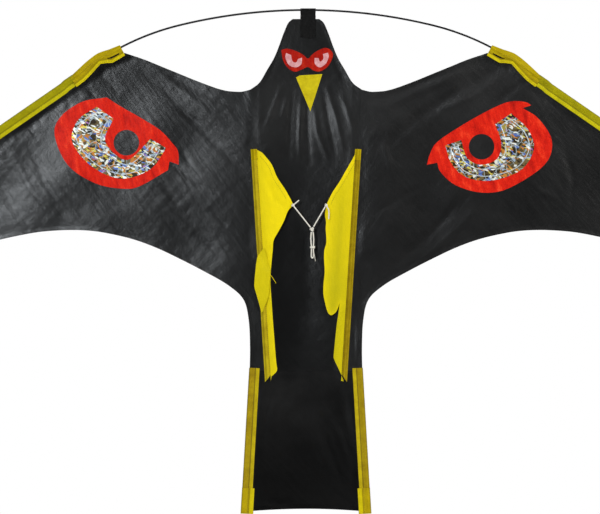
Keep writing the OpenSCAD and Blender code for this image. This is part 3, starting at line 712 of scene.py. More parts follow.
def black_cloth(name, painted_light_by_height, specular, crumple, fan_at, sleeve_way, pucker):
    """Black plain-woven cloth with a soft sheen, fine creases and a light mottle.

    The painted light and shade are pairs of height and tone, from the lowest up, which make the colour
    lighter or darker by height. Creases fan out from fan_at, and puckers run along sleeve_way.
    """
    made, tree, surface = shader(name, (0.005,) * 3, 0.29, specular)
    where = place_on(tree)
    height = add(tree, "ShaderNodeSeparateXYZ", ("Vector", where)).outputs["Z"]
    lowest, highest = painted_light_by_height[0][0], painted_light_by_height[-1][0]
    level = add(tree, "ShaderNodeMapRange", ("Value", height), ("From Min", lowest),
                ("From Max", highest)).outputs["Result"]
    # Painted light and shade: the colour goes lighter or darker with height
    painted_light = ramp(tree, level, *[((z - lowest) / (highest - lowest), (tone,) * 3) for z, tone in painted_light_by_height])
    mottle = ramp(tree, grain(tree, where, 14, 4, 0.6), (0.35, (0.32,) * 3), (0.7, (1.0,) * 3))
    tree.links.new(mix(tree, 1.0, painted_light, mottle, "MULTIPLY"), surface.inputs["Base Color"])
    weave = calc(tree, "MULTIPLY", bands(tree, where, WEAVE_SCALE, "X"),
                 bands(tree, where, WEAVE_SCALE, "Z"))
    streaks = grain(tree, stretched(tree, where, (0.68, -0.73), 120, 20), 1, 3)
    crossing = grain(tree, stretched(tree, where, (0.64, 0.77), 60, 16), 1, 3)
    fine = grain(tree, where, 320, 4, 0.6)
    from_middle = add(tree, "ShaderNodeVectorMath", (0, where), (1, (fan_at[0], 0, fan_at[1])),
                      operation="SUBTRACT").outputs[0]
    parts = add(tree, "ShaderNodeSeparateXYZ", ("Vector", from_middle))
    angle = calc(tree, "ARCTAN2", parts.outputs["Z"], parts.outputs["X"])
    away = add(tree, "ShaderNodeVectorMath", (0, from_middle), operation="LENGTH").outputs["Value"]
    spokes = calc(tree, "MULTIPLY", angle, 9.0)
    rings = calc(tree, "MULTIPLY", away, 5.0)
    fan = grain(tree, add(tree, "ShaderNodeCombineXYZ", ("X", spokes), ("Y", rings)).outputs[0], 1, 2)
    puckers = grain(tree, stretched(tree, where, sleeve_way, 160, 22), 1, 2)
    bumps(tree, surface, (streaks, 0.0016 * crumple), (crossing, 0.0007 * crumple),
          (fan, 0.0016 * crumple), (puckers, pucker * crumple), (fine, 0.00006 + 0.0004 * crumple),
          (weave, 0.00002))
    return made


sleeve_ways = {"left": (0.568, -0.823), "right": (-0.568, -0.823)}
# Painted light and shade: each panel's tones by height paint the lamps' sheen and shade into its colour,
# so the four cloths are lit and shaded copies of one black cloth
finishes = {
    "body": black_cloth("cloth_body", ((-0.48, 0.0010), (-0.36, 0.0016), (-0.24, 0.0090),
                                       (-0.17, 0.0200), (-0.11, 0.0130), (-0.05, 0.0040)),
                        0.40, 0.14, (0.0, 0.05), sleeve_ways["left"], 0.0004),
    "left": black_cloth("cloth_wing_left", ((-0.34, 0.0062), (-0.16, 0.0044), (-0.06, 0.0020)),
                        0.54, 0.14, (-shoulder[0] - 0.02, shoulder[1]), sleeve_ways["left"], 0.0018),
    "right": black_cloth("cloth_wing_right", ((-0.34, 0.0085), (-0.24, 0.0070), (-0.14, 0.0150),
                                              (-0.06, 0.0090)),
                         0.62, 0.19, (shoulder[0] + 0.02, shoulder[1]), sleeve_ways["right"], 0.0008),
    "tail": black_cloth("cloth_tail", ((-0.70, 0.0004), (-0.56, 0.0125)), 0.17, 0.15, (0.0, -0.50),
                        sleeve_ways["right"], 0.0004),
}


def hem_depth(flat, free_edge, made_depth):
    """A folded hem stands a little proud along a free edge."""
    d = near_line(flat[:, 0], flat[:, 1], free_edge)[0]
    return made_depth - 0.00025 * (1 - step_up(d, HEM_W - 0.0012, HEM_W))


for name, node, finish, outline, free_edge, rests_on in (
        ("body_cloth", "sail_center", "body", body_outline, head_side, ["bow_spar"]),
        ("wing_cloth_left", "sail_wing_left", "left", wing_outline[::-1] * (-1, 1),
         np.vstack([trailing_edge, feather_edge]) * (-1, 1), ["bow_spar", "wing_spar_left"]),
        ("wing_cloth_right", "sail_wing_right", "right", wing_outline,
         np.vstack([trailing_edge, feather_edge]), ["bow_spar", "wing_spar_right"]),
        ("tail_cloth", "sail_tail", "tail", tail_outline, tail_foot,
         ["tail_batten_left", "tail_batten_right"])):
    flat, faces = cut(outline, CLOTH_STEP)
    made = solid_sheet(name, flat, faces, hem_depth(flat, free_edge, cloth_depth(flat)), CLOTH_T)
    shaded(made, finishes[finish], 60)
    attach(made, "sail")
    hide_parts(node)
    width, height = np.ptp(np.array(outline), axis=0)

# Tapes: yellow woven tape folded over each rod and sewn through the edge of the sail.
# It makes the sleeves of the wings and of the tail, each closed by a patch of the same
# tape, stitched with dark thread.
TAPE_WALL = 0.00035
TAPE_STEP = 0.001
STITCH_PITCH = 0.003
THREAD_R = 0.00022
PATCH_END = 0.018
TIP_PATCH_L = 0.038
CAP_R = 0.0033
FERRULE_SLEEVE_R = 0.0037
TAIL_R = 0.00235
TAIL_SLEEVE_W = 0.016
TAIL_PATCH_L = 0.036
TAIL_PATCH_OVER = 0.003
PATCH_PROUD = 0.00035
TAPE_FLAT_H = 0.00072
TAPE_THREAD_Y = 0.00064
STITCH_PULL = 0.0002
STITCH_REACH = 0.0012


def tape_finish(name, pocket, hem, mark):
    """Woven yellow tape: darker where it wraps a rod, brighter at its hem, soiled, and with painted shade
    at its very edge.
    """
    made, tree, surface = shader(name, hem, 0.62, 0.08)
    uv = add(tree, "ShaderNodeUVMap", uv_map="UVMap").outputs["UV"]
    where = place_on(tree)
    parts = add(tree, "ShaderNodeSeparateXYZ", ("Vector", uv))
    # Painted shade: the last stop is black, for the shade inside the shoulder patch's slit, and it also
    # darkens the very edge of each hem
    across = ramp(tree, parts.outputs["X"], (0.0, tuple(0.72 * c for c in pocket)), (0.14, pocket),
                  (0.52, pocket), (0.62, tuple(0.62 * c for c in pocket)), (0.68, hem), (0.96, hem),
                  (1.0, (0.01, 0.01, 0.008)))
    blotch = ramp(tree, grain(tree, where, 55, 4, 0.65), (0.36, mark), (0.62, (1.0, 1.0, 1.0)))
    fine = ramp(tree, grain(tree, where, 900, 2), (0.3, (0.86,) * 3), (0.7, (1.0,) * 3))
    soiled_and_shaded = mix(tree, 1.0, across, blotch, "MULTIPLY")
    tree.links.new(mix(tree, 1.0, soiled_and_shaded, fine, "MULTIPLY"), surface.inputs["Base Color"])
    bumps(tree, surface, (bands(tree, uv, 9.0, "Y"), 0.00005), (grain(tree, where, 300, 3), 0.0004),
          (grain(tree, where, 1800, 2), 0.00008))
    return made


def thread_finish():
    """Dark polyester thread."""
    made, tree, surface = shader("thread_dark", (0.035, 0.03, 0.012), 0.6, 0.3)
    where = place_on(tree)
    tree.links.new(ramp(tree, grain(tree, where, 700, 2), (0.35, (0.02, 0.017, 0.008)),
                        (0.7, (0.07, 0.06, 0.02))), surface.inputs["Base Color"])
    bumps(tree, surface, (grain(tree, where, 6000, 2), 0.00006))
    return made


sleeve_tape = tape_finish("tape_olive", (0.40, 0.355, 0.0015), (0.60, 0.53, 0.003),
                          (0.78, 0.78, 0.74))
patch_tape = tape_finish("tape_yellow", (0.50, 0.375, 0.001), (0.68, 0.56, 0.002),
                         (0.82, 0.80, 0.76))
keel_tape = tape_finish("tape_keel", (0.40, 0.29, 0.004), (0.56, 0.44, 0.006),
                        (0.74, 0.70, 0.62))
# Painted light: the left pocket's tape is a paler copy of the right one's, the light on it painted into
# its colour, as the photograph shows it
keel_tape_painted_light = tape_finish("tape_keel_painted_light", (0.56, 0.44, 0.010), (0.72, 0.59, 0.012),
                             (0.74, 0.70, 0.62))
dark_thread = thread_finish()

# One stitch, about as long as the gap to the next, is the pattern for every row
bpy.ops.object.select_all(action="DESELECT")
bpy.ops.mesh.primitive_uv_sphere_add(segments=6, ring_count=5, radius=1, location=(0, 0, 0))
pattern = bpy.context.object
stitch_points = np.array([tuple(v.co) for v in pattern.data.vertices])
stitch_faces = [tuple(p.vertices) for p in pattern.data.polygons]
bpy.data.objects.remove(pattern)


def evenly(line, pitch):
    """Points at a steady pitch along a line, and the line's direction at each."""
    line = np.array(line, float)
    lengths = np.linalg.norm(np.diff(line, axis=0), axis=1)
    before = np.concatenate([[0], np.cumsum(lengths)])
    at = np.arange(pitch / 2, before[-1], pitch)
    i = np.clip(np.searchsorted(before, at) - 1, 0, len(lengths) - 1)
    way = np.diff(line, axis=0)[i] / lengths[i][:, None]
    return line[i] + way * (at - before[i])[:, None], way


def stitching(name, rows, pitch=STITCH_PITCH, finish=None):
    """A mesh of stitches: each row is a line of x and z, and the depth at each point."""
    points, faces = [], []
    for line, depth_at in rows:
        centres, ways = evenly(line, pitch)
        depths = depth_at(centres)
        for (x, z), (wx, wz), y in zip(centres, ways, depths):
            a, b, c = (stitch_points * (pitch * 0.36, THREAD_R, THREAD_R)).T
            faces += [tuple(k + len(points) for k in face) for face in stitch_faces]
            points += list(np.column_stack([x + a * wx - c * wz, y + b, z + a * wz + c * wx]))
    made = piece(name, points, faces)
    return shaded(made, finish or dark_thread)


def joined(main, *others):
    """The others become part of the main piece, and keep their materials."""
    only(main)
    for other in others:
        other.select_set(True)
    bpy.ops.object.join()
    return main


def side_of(points, s):
    """Points of the right side, or mirrored to the left."""
    return np.array(points) * (s, 1)


def grid_faces(rows, columns):
    """The faces of a grid of points, given row by row."""
    return [(i * columns + j, i * columns + j + 1, (i + 1) * columns + j + 1, (i + 1) * columns + j)
            for i in range(rows - 1) for j in range(columns - 1)]


def mapped(made, uv):
    """Gives every vertex its place on the tape as a UV."""
    layer = made.data.uv_layers.new(name="UVMap")
    corner = np.empty(len(made.data.loops), int)
    made.data.loops.foreach_get("vertex_index", corner)
    layer.data.foreach_set("uv", np.array(uv, float)[corner].ravel())


def walled(made, thickness, outside):
    """Points the faces away from a line along the middle, then gives the tape its wall."""
    mesh = made.data
    total = sum((p.center - outside(p.center)).dot(p.normal) * p.area for p in mesh.polygons)
    if total < 0:
        mesh.flip_normals()
    return thickened(made, thickness, -1)


def folded_tape(name, start, way, into, length, width, stitch, radius_at, s, proud=0.0,
                closed=False, lead=0.0):
    """Tape folded over a rod, from its front hem round the fold to its back hem."""
    t_rows = np.append(np.arange(-lead, length, TAPE_STEP), length)
    points, uv = [], []
    for t in t_rows:
        r = radius_at(t) + proud
        w_u, s_u = width - r, stitch - r
        u_front = np.concatenate([[w_u, w_u - 0.0004], np.linspace(w_u - 0.0016, s_u + 0.0012, 3),
                                  [s_u + 0.0005, s_u, s_u - 0.0005],
                                  np.linspace(s_u - 0.0014, 0, 7)])
        turn = np.linspace(0, math.pi / 2, 6)[1:]
        dip = 0.5 + 0.5 * math.cos(2 * math.pi * t / STITCH_PITCH)
        sag = 1.0
        if closed:
            sag = math.sqrt(max(0.0, 1 - max(0.0, (t - length + 0.004) / 0.004) ** 2))
        ripple = noise.noise((t * 160, s * 3.0, start[0] * 50))
        pucker = noise.noise((t * 420, s * 7.0, start[0] * 50))
        half = []
        for u in u_front:
            if u > s_u:
                share = (u - s_u) / (w_u - s_u)
                h = TAPE_FLAT_H + 0.00022 * math.sin(math.pi * share) + 0.00016 * ripple * share
                h -= STITCH_PULL * dip * max(0, 1 - (u - s_u) / STITCH_REACH)
            else:
                share = max(0.0, u / s_u)
                h = TAPE_FLAT_H + (r - TAPE_FLAT_H) * (0.5 + 0.5 * math.cos(math.pi * share))
                h += 0.00022 * pucker * share * (1 - share) * 4
                h -= STITCH_PULL * dip * max(0, 1 - (s_u - u) / STITCH_REACH)
            if abs(u - s_u) < 1e-9:
                h -= 0.00016
            half.append((u, (h + proud * (u > 0)) * sag))
        half += [(-r * math.sin(a), r * math.cos(a) * sag) for a in turn[:-1]]
        ring = ([(u, -h) for u, h in half] + [(-r, 0)] + [(u, h) for u, h in half[::-1]])
        for u, y in ring:
            x, z = start + way * t + into * u
            points.append((x * s, y, z))
            uv.append(((u + r) / width, t / 0.02))
    columns = len(ring)
    made = piece(name, points, grid_faces(len(t_rows), columns))
    mapped(made, uv)
    middle = start + way * length / 2 + into * 0.003
    way3 = Vector((way[0] * s, 0, way[1]))
    centre = Vector((middle[0] * s, 0, middle[1]))
    walled(made, TAPE_WALL, lambda c: centre + way3 * (c - centre).dot(way3))
    stitch_line = side_of([start + way * t + into * (stitch - radius_at(t))
                           for t in np.linspace(-lead, length - 0.002, 40)], s)
    depth = TAPE_THREAD_Y + proud
    rows = stitching(name + "_thread", [(stitch_line, lambda c: np.full(len(c), -depth)),
                                        (stitch_line, lambda c: np.full(len(c), depth))])
    return made, rows


def sleeve_radius(t):
    """The sleeve is fatter over the metal tube that joins the rods."""
    return SLEEVE_R + (FERRULE_SLEEVE_R - SLEEVE_R) * float(1 - step_up(t, 0.030, 0.038))


tail_along = np.array([math.sin(TAIL_LEAN), -math.cos(TAIL_LEAN)])
tail_into = np.array([-math.cos(TAIL_LEAN), -math.sin(TAIL_LEAN)])
tail_start = np.array([TAIL_HALF, -TAIL_SEAM - 0.0005]) + tail_into * TAIL_R
tail_sleeve_run = TAIL_L / math.cos(TAIL_LEAN) - TAIL_PATCH_L

for side, s in (("left", -1), ("right", 1)):
    for name, start, way, into, length, width, stitch, radius_at, proud, closed, lead, finish in (
            ("wing_sleeve", edge(PATCH_END), along, inward,
             WING_L - TIP_PATCH_L - PATCH_END + 0.004, SLEEVE_W, SLEEVE_STITCH,
             lambda t: sleeve_radius(t + PATCH_END), 0.0, False, 0.003, sleeve_tape),
            ("tip_patch", edge(WING_L - TIP_PATCH_L), along, inward,
             TIP_PATCH_L + 0.0028, SLEEVE_W, SLEEVE_STITCH,
             lambda t: SLEEVE_R + (CAP_R - SLEEVE_R) * float(step_up(t, 0.018, 0.024)),
             PATCH_PROUD, True, 0.0, patch_tape),
            ("tail_sleeve", tail_start, tail_along, tail_into,
             tail_sleeve_run + 0.003, TAIL_SLEEVE_W, TAIL_STITCH,
             lambda t: TAIL_R, 0.0, False, 0.005, keel_tape),
            ("tail_patch", tail_start + tail_along * tail_sleeve_run, tail_along,
             tail_into, TAIL_PATCH_L + 0.0028, TAIL_SLEEVE_W + TAIL_PATCH_OVER, TAIL_STITCH,
             lambda t: TAIL_R, PATCH_PROUD, True, 0.0, patch_tape)):
        made, rows = folded_tape(f"{name}_{side}_tape", start, way, into, length, width, stitch,
                                 radius_at, s, proud, closed, lead)
        shaded(made, finish, 55)
        joined(made, rows)
        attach(made, "sail")
        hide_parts(f"{name}_{side}")

# Shoulder patches: two layers of the same tape, sewn over the bend of the bow where it
# enters the leading edge. The rod lies in a pocket between them, the sail is gripped
# below it, and the mouth gapes a little beside the rod.
LAYER_H = 0.00085
shoulder_way = np.array([math.sin(SHOULDER_SLOPE), math.cos(SHOULDER_SLOPE)])
patch_outer = np.vstack([[shoulder + shoulder_way * 0.0036],
                         through(np.vstack([by_shoulder((17.4, -3), (32.4, -8), (41.4, -13.5),
                                                        (54.4, -24)), [edge(PATCH_END, -SLEEVE_R)]]), 3),
                         [edge(PATCH_END + 0.0015, -SLEEVE_R - 0.0006)]])
patch_inner = np.vstack([[edge(PATCH_END + 0.0015, SLEEVE_W - SLEEVE_R + 0.0006)],
                         by_shoulder((53.4, -49.8), (41.4, -37.2), (30.4, -24.8), (22.4, -23.8),
                                     (12.4, -23.2)), [shoulder - shoulder_way * 0.0138]])
patch_outline = np.vstack([patch_outer, patch_inner])
patch_slit = by_shoulder((2.5, -8.6), (9, -11.6), (17.5, -15.6), (21, -16.2), (20, -17.4), (14.5, -17),
                         (8, -14.0), (2.5, -10.6))
rod_in_patch = np.vstack([[shoulder - np.array([0.004, -0.0021])], [shoulder],
                          arc(shoulder, ENTRY_R, SHOULDER_SLOPE, WING_SLOPE, 8), [edge(0.03)]])


def plan_of(made):
    """X and z of every point of a piece."""
    return np.array([(v.co.x, v.co.z) for v in made.data.vertices])


def patch_height(flat, seed):
    """Half the thickness of the shoulder patch: a ridge over the rod, closed at its fold."""
    x, z = flat.T
    d, share = near_line(x, z, rod_in_patch)
    ridge = SLEEVE_R + (FERRULE_SLEEVE_R - SLEEVE_R) * step_up(share, 0.62, 0.80)
    crumple = np.array([noise.noise((a * 120, seed, b * 120)) for a, b in flat])
    creased = np.array([noise.noise(((a + b) * 210, seed + 4, (a - b) * 60)) for a, b in flat])
    h = LAYER_H + (ridge + PATCH_PROUD - LAYER_H) * np.exp(-(d / (0.95 * ridge)) ** 2)
    h += np.abs(crumple) * 0.0020 * step_up(d, 0.002, 0.007) + creased * 0.0005
    fold = near_line(x, z, patch_outer)[0]
    return np.maximum(0.00012, h * np.sqrt(step_up(fold, -0.0004, 0.0035)))


for side, s in (("left", -1), ("right", 1)):
    layers = []
    for face, holes in ((-1, [patch_slit]), (1, [])):
        flat, faces = cut(patch_outline, 0.0014, holes)
        height = patch_height(flat, 3.0 + s + 0.3 * face)
        made = solid_sheet(f"shoulder_layer_{side}_{face}", flat * (s, 1), faces, face * height,
                           TAPE_WALL)
        xz = side_of(plan_of(made), s)
        hem_gap = near_line(*xz.T, patch_inner)[0]
        across = np.interp(hem_gap, [0, 0.0036, 0.0048, 0.02], [0.94, 0.70, 0.62, 0.30])
        if face > 0:
            # Painted shade: round the slit the back layer takes the tape's black stop, for the shade
            # inside the mouth
            across[near_line(*xz.T, patch_slit[[0, 1, 2]])[0] < 0.006] = 1.0
        mapped(made, [(float(u), v.co.x * 50) for u, v in zip(across, made.data.vertices)])
        layers.append(shaded(made, patch_tape, 55))
    hem = patch_inner[:-1] + (0.0, 0.0022)
    upper = np.array([patch_outer[k] - shoulder_way * 0.0075 for k in range(2, len(patch_outer) - 2)])
    rows = stitching(f"shoulder_thread_{side}", [
        (side_of(line, s), lambda c, f=f: f * (patch_height(c * (s, 1), 3.0 + s + 0.3 * f) + 0.0001))
        for line in (hem, upper) for f in (-1, 1)], 0.0026)
    made = joined(*layers, rows)
    made.name = f"shoulder_patch_{side}_tape"
    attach(made, "sail")
    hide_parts(f"shoulder_patch_{side}")

# Head loop: a short black webbing, folded over the bow and sewn down the head on both
# sides, which carries the whole kite.
TAB_W = 0.023
TAB_L = 0.042
TAB_T = 0.0008
TAB_MID = 0.003


def webbing_finish():
    """Black ribbed polyester webbing."""
    made, tree, surface = shader("webbing_black", (0.006, 0.006, 0.007), 0.7, 0.1)
    where = place_on(tree)
    tree.links.new(ramp(tree, grain(tree, where, 400, 3), (0.3, (0.004,) * 3), (0.7, (0.010,) * 3)),
                   surface.inputs["Base Color"])
    bumps(tree, surface, (bands(tree, where, 230.0, "X"), 0.00025),
          (bands(tree, where, 420.0, "Z"), 0.00012), (grain(tree, where, 700, 2), 0.0001))
    return made


loop_r = ROD_R + 0.0002 + TAB_T / 2
flat_y = 0.00035 + TAB_T / 2
tab_line = [(-flat_y, z) for z in np.linspace(-TAB_L, -0.0045, 30)]
tab_line += [(loop_r * math.cos(a), loop_r * math.sin(a))
             for a in np.linspace(math.pi * 1.12, -math.pi * 0.12, 18)]
tab_line += [(flat_y, z) for z in np.linspace(-0.0045, -TAB_L, 30)]
tab_xs = np.linspace(TAB_MID - TAB_W / 2, TAB_MID + TAB_W / 2, 25)
head_tab = piece("head_loop_webbing", [
    (x + 0.0003 * noise.noise((z * 300, 1.0, x * 40)),
     y * (1 + 0.12 * noise.noise((x * 200, 0.0, z * 90))) - 0.0001 * math.cos(math.pi * j / 2),
     z - (0.0012 * math.sin(x * 260) if i in (0, len(tab_line) - 1) else 0))
    for i, (y, z) in enumerate(tab_line) for j, x in enumerate(tab_xs)],
    grid_faces(len(tab_line), len(tab_xs)))
total = sum(p.normal.dot(Vector((0, p.center.y, max(0.0, p.center.z)))) * p.area
            for p in head_tab.data.polygons)
if total < 0:
    head_tab.data.flip_normals()
thickened(head_tab, TAB_T, 0)
shaded(head_tab, webbing_finish(), 50)
box_x = TAB_W / 2 - 0.0025
box_rows = [[(TAB_MID + box_x * a, za), (TAB_MID + box_x * b, zb)] for a, za, b, zb in (
    (-1, -0.0175, 1, -0.0175), (-1, -0.0385, 1, -0.0385), (-1, -0.0175, -1, -0.0385),
    (1, -0.0175, 1, -0.0385), (-1, -0.0175, 1, -0.0385), (1, -0.0175, -1, -0.0385),
    (-1, -0.0065, 1, -0.0065))]
rows = stitching("head_loop_thread", [(line, lambda c, f=f: np.full(len(c), f * (flat_y + TAB_T / 2)))
                                      for line in box_rows for f in (-1, 1)],
                 finish=head_tab.data.materials[0])
joined(head_tab, rows)
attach(head_tab, "sail")
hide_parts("head_tab")

# Keel pockets: a narrow yellow tape sewn down each side of the body, with a rod inside.
# The thread along its inner side also holds the fin, and a folded end closes its top.
KEEL_RIDGE = 0.0041
RIDGE_HALF_W = 0.0042
POCKET_FLAT_H = 0.00055
POCKET_STITCH = 0.0083
keel_along = np.array([-math.sin(KEEL_LEAN), -math.cos(KEEL_LEAN)])
keel_into = np.array([-math.cos(KEEL_LEAN), math.sin(KEEL_LEAN)])
keel_start = np.array([KEEL_HALF, -KEEL_TOP])
keel_run = KEEL_L / math.cos(KEEL_LEAN)


def pocket_height(u):
    """Height of the pocket in front of the flat cloth, across its width."""
    d = abs(u - seam_in)
    ridge = 0.5 * (1 + math.cos(math.pi * min(1, d / RIDGE_HALF_W)))
    return POCKET_FLAT_H + (KEEL_RIDGE - POCKET_FLAT_H) * ridge


def pocket_tape(name, s, first, last, lean, proud):
    """A run of the pocket's tape; its foot is cut on a slant."""
    us = np.concatenate([[0, 0.0004], np.linspace(0.0009, 0.0086, 12), [0.0091, POCKET_W]])
    ts = np.append(np.arange(0, 1, TAPE_STEP / (last - first)), 1.0)
    points, uv = [], []
    for share in ts:
        for u in us:
            t = first + (last - first - lean * u) * share
            dip = 0.5 + 0.5 * math.cos(2 * math.pi * t / STITCH_PITCH)
            h = pocket_height(u) + proud
            h -= 0.00025 * dip * math.exp(-((u - POCKET_STITCH) / 0.0006) ** 2)
            h += 0.00018 * noise.noise((t * 130, s * 2.0, u * 400))
            x, z = keel_start + keel_along * t + keel_into * u
            points.append((x * s, -h, z))
            uv.append((0.14 + 0.5 * (u / POCKET_W) ** 3, t / 0.02))
    made = piece(name, points, grid_faces(len(ts), len(us)))
    mapped(made, uv)
    return walled(made, TAPE_WALL, lambda c: Vector((c.x, 1, c.z)))


for side, s, lean, finish in (("left", -1, 1.1, keel_tape_painted_light), ("right", 1, 1.3, keel_tape)):
    made = shaded(pocket_tape(f"keel_pocket_{side}_tape", s, 0.012, keel_run, lean, 0.0),
                  finish, 55)
    top = shaded(pocket_tape(f"keel_top_{side}", s, 0.0, 0.0165, 0.0, 0.0003), patch_tape, 55)
    line = side_of([keel_start + keel_along * t + keel_into * POCKET_STITCH
                    for t in (0.004, keel_run - 0.012)], s)
    back = [side_of([keel_start + keel_along * t + keel_into * u for t in (0.002, keel_run - 0.004)], s)
            for u in (0.0012, POCKET_STITCH)]
    rows = stitching(f"keel_thread_{side}", [
        (line, lambda c: np.full(len(c), -pocket_height(POCKET_STITCH) - 0.0001))]
        + [(b, lambda c: np.full(len(c), 0.0002)) for b in back])
    # Heavier bar tacks hold the folded end
    tacks = [mm((-73.5, -209.5), (-73.5, -214.3)), mm((-76, -223.6), (-71.2, -223.6))] if s < 0 else [
        mm((71.2, -226.8), (75.4, -226.2))]
    tacks = stitching(f"keel_tacks_{side}", [
        (line, lambda c: np.full(len(c), -0.0032 if abs(c[0][1]) < 0.22 else -0.0030))
        for line in tacks], 0.0024)
    joined(made, top, rows, tacks)
    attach(made, "sail")
    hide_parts(f"keel_pocket_{side}")

# Keel fins: bright yellow nylon, hemmed along its slanted front edge and sewn in beside
# the pocket. It stands up to the bridle's knot and hangs slack below, and on the left a
# lobe of it has folded over the pocket.
FIN_T = 0.0003
FIN_STEP = 0.0018
FIN_STAND = 0.0009
FIN_RISE = 0.0051
FIN_TUCK = 0.0010
FIN_HEM = 0.0065
FIN_HEM_PROUD = 0.00025
HEM_STITCH_IN = 0.0048
HEM_STITCH_DROP = 0.0034
LOBE_Y = 0.0053
LOBE_OVER_POCKET = 0.0047
LOBE_OVER_FIN = 0.0005
POCKET_SIDE_X = -0.058
BEND_FROM = 0.0012
BEND_TO = 0.0095


def fin_finish(name, bright, shaded_tone):
    """Thin yellow nylon with painted shade: darker and greener where its painted shade is high."""
    made, tree, surface = shader(name, bright, 0.55, 0.08)
    where = place_on(tree)
    painted_shade = add(tree, "ShaderNodeAttribute", attribute_name="painted_shade").outputs["Fac"]
    base = ramp(tree, painted_shade, (0.0, bright), (1.0, shaded_tone))
    mottle = ramp(tree, grain(tree, where, 60, 4, 0.6), (0.32, (0.93, 0.94, 0.9)), (0.65, (1.0,) * 3))
    fine = ramp(tree, grain(tree, where, 1100, 2), (0.3, (0.94,) * 3), (0.7, (1.0,) * 3))
    both = mix(tree, 1.0, mottle, fine, "MULTIPLY")
    tree.links.new(mix(tree, 1.0, base, both, "MULTIPLY"), surface.inputs["Base Color"])
    bumps(tree, surface, (grain(tree, stretched(tree, where, (0.2, -0.98), 130, 26), 1, 3), 0.0009),
          (grain(tree, where, 260, 3), 0.0004), (bands(tree, where, 480.0, "Z"), 0.00002))
    return made


fin_yellow = fin_finish("fin_yellow", (0.90, 0.71, 0.003), (0.50, 0.43, 0.003))
fin_left_free = mm((-66, -213.8), (-60, -220.5), (-51, -232.5), (-43.5, -250.5), (-33, -266.3),
                   (-25.5, -279), (-19.8, -290.8), (-21, -294.5), (-27, -301.5), (-32.3, -315),
                   (-37.5, -325.5), (-43.5, -336), (-48.8, -346.5), (-49.8, -360), (-51.3, -375),
                   (-53, -396), (-53, -415.5), (-51.8, -433), (-50, -460.5), (-47.3, -495),
                   (-44.7, -528), (-43.5, -540.8), (-51.8, -549.8))
fin_right_free = mm((75, -213), (70, -223), (60, -240.5), (50, -258), (40, -273), (31.6, -290),
                    (29.2, -300), (28.4, -308), (30, -318), (29.5, -328), (30.5, -348), (27.5, -360),
                    (27, -373), (28, -393), (26.2, -410.5), (26, -425.5), (28.8, -440.5),
                    (32.5, -453), (37.5, -457.8), (43.8, -454.2), (47.5, -448), (50.5, -439.2))
fin_right_low = mm((49.6, -446), (48.2, -458), (46.2, -470.6), (43.8, -493), (41.7, -515.5),
                   (41.9, -523), (48.75, -538), (53.7, -549.3), (56.6, -557))
lobe_left = mm((-63, -357), (-68.5, -363.5), (-73.3, -372), (-76, -393), (-77.5, -413),
               (-75, -424), (-70.5, -439.5), (-66.3, -454.2), (-62.3, -445.5), (-56.7, -430.5),
               (-54.6, -415.5), (-53.4, -396), (-54.5, -385), (-58.5, -370))

# Folds of each fin, as creases are above; the fins' colour follows a painted shade instead, given below
FIN_LEFT_FOLDS = [(5, -1.6, (-66, -300), (-62, -345), (-58, -385)),
                  (4, 1.0, (-62, -245), (-48, -285), (-28, -298)),
                  (6, 1.4, (-72, -330), (-64, -352), (-54, -366)),
                  (4, -1.2, (-57, -450), (-53, -500), (-50, -545))]
FIN_RIGHT_FOLDS = [(6, -1.6, (62, -255), (56, -340), (46, -440)),
                   (6, 1.4, (50, -262), (46, -340), (38, -420)),
                   (5, -1.2, (36, -300), (36, -370), (33, -446)),
                   (4, 1.0, (58, -440), (54, -500), (50, -540))]


def from_hinge(x, z):
    """How far a point lies from its fin's hinge line, away from the pocket."""
    return (keel_x(z, HINGE_IN) - np.abs(x)) * math.cos(KEEL_LEAN)


def folded(x, z, folds):
    """How far the folds move points to the back."""
    total = np.zeros(len(x))
    for half_width, depth, *line in folds:
        d, share = near_line(x, z, np.array(line) * 0.001)
        total += depth * 0.001 * np.sin(math.pi * share) ** 0.6 * np.exp(-(d / (half_width * 0.001)) ** 2)
    return total


def fin_depth(flat, folds):
    """Depth of a fin: it rises from its hinge towards the viewer, and its folds are on it."""
    x, z = flat.T
    d = from_hinge(x, z)
    rise = FIN_RISE * np.sin(np.pi / 2 * np.clip(d / 0.046, 0, 1))
    small = np.array([noise.noise((a * 70, 4.0, b * 30)) for a, b in flat])
    loose = step_up(d, 0.001, 0.010)
    depth = -FIN_STAND - rise + folded(x, z, folds) * loose + 0.0006 * small * loose
    depth = np.minimum(depth, -FIN_STAND * step_up(d, -0.001, 0.0) - 0.0004)
    return np.where(d < 0, -FIN_STAND + (FIN_STAND - 0.00042) * step_up(-d, 0, 0.0009), depth)


def stored(made, name, values):
    """Keeps a number from 0 to 1 at every point of a piece, for its material to follow."""
    layer = made.data.attributes.new(name, "FLOAT", "POINT")
    layer.data.foreach_set("value", np.clip(values, 0, 1).astype(np.float32))


def left_painted_shade(xz):
    """Painted shade on the left fin: darker near its hinge and low down."""
    x, z = xz.T
    d = from_hinge(x, z)
    low = step_up(-z, 0.335, 0.375)
    return 0.30 * (1 - step_up(d, 0.0, 0.016)) + 0.14 * low


def lobe_painted_shade(xz):
    """Painted shade on the left fin's folded lobe, deeper low down."""
    return 0.62 + 0.12 * step_up(-xz[:, 1], 0.40, 0.45)


def right_painted_shade(xz):
    """Painted shade on the right fin: a dark band beside the pocket and darker low down, with a painted
    highlight along its free edge.
    """
    x, z = xz.T
    d = from_hinge(x, z)
    band = np.exp(-((d - 0.016) / 0.009) ** 2) * step_up(-z, 0.24, 0.31)
    edge_light = np.exp(-(near_line(x, z, fin_right_free)[0] / 0.005) ** 2)
    return 0.42 + 0.26 * band + 0.26 * step_up(-z, 0.34, 0.44) - 0.30 * edge_light


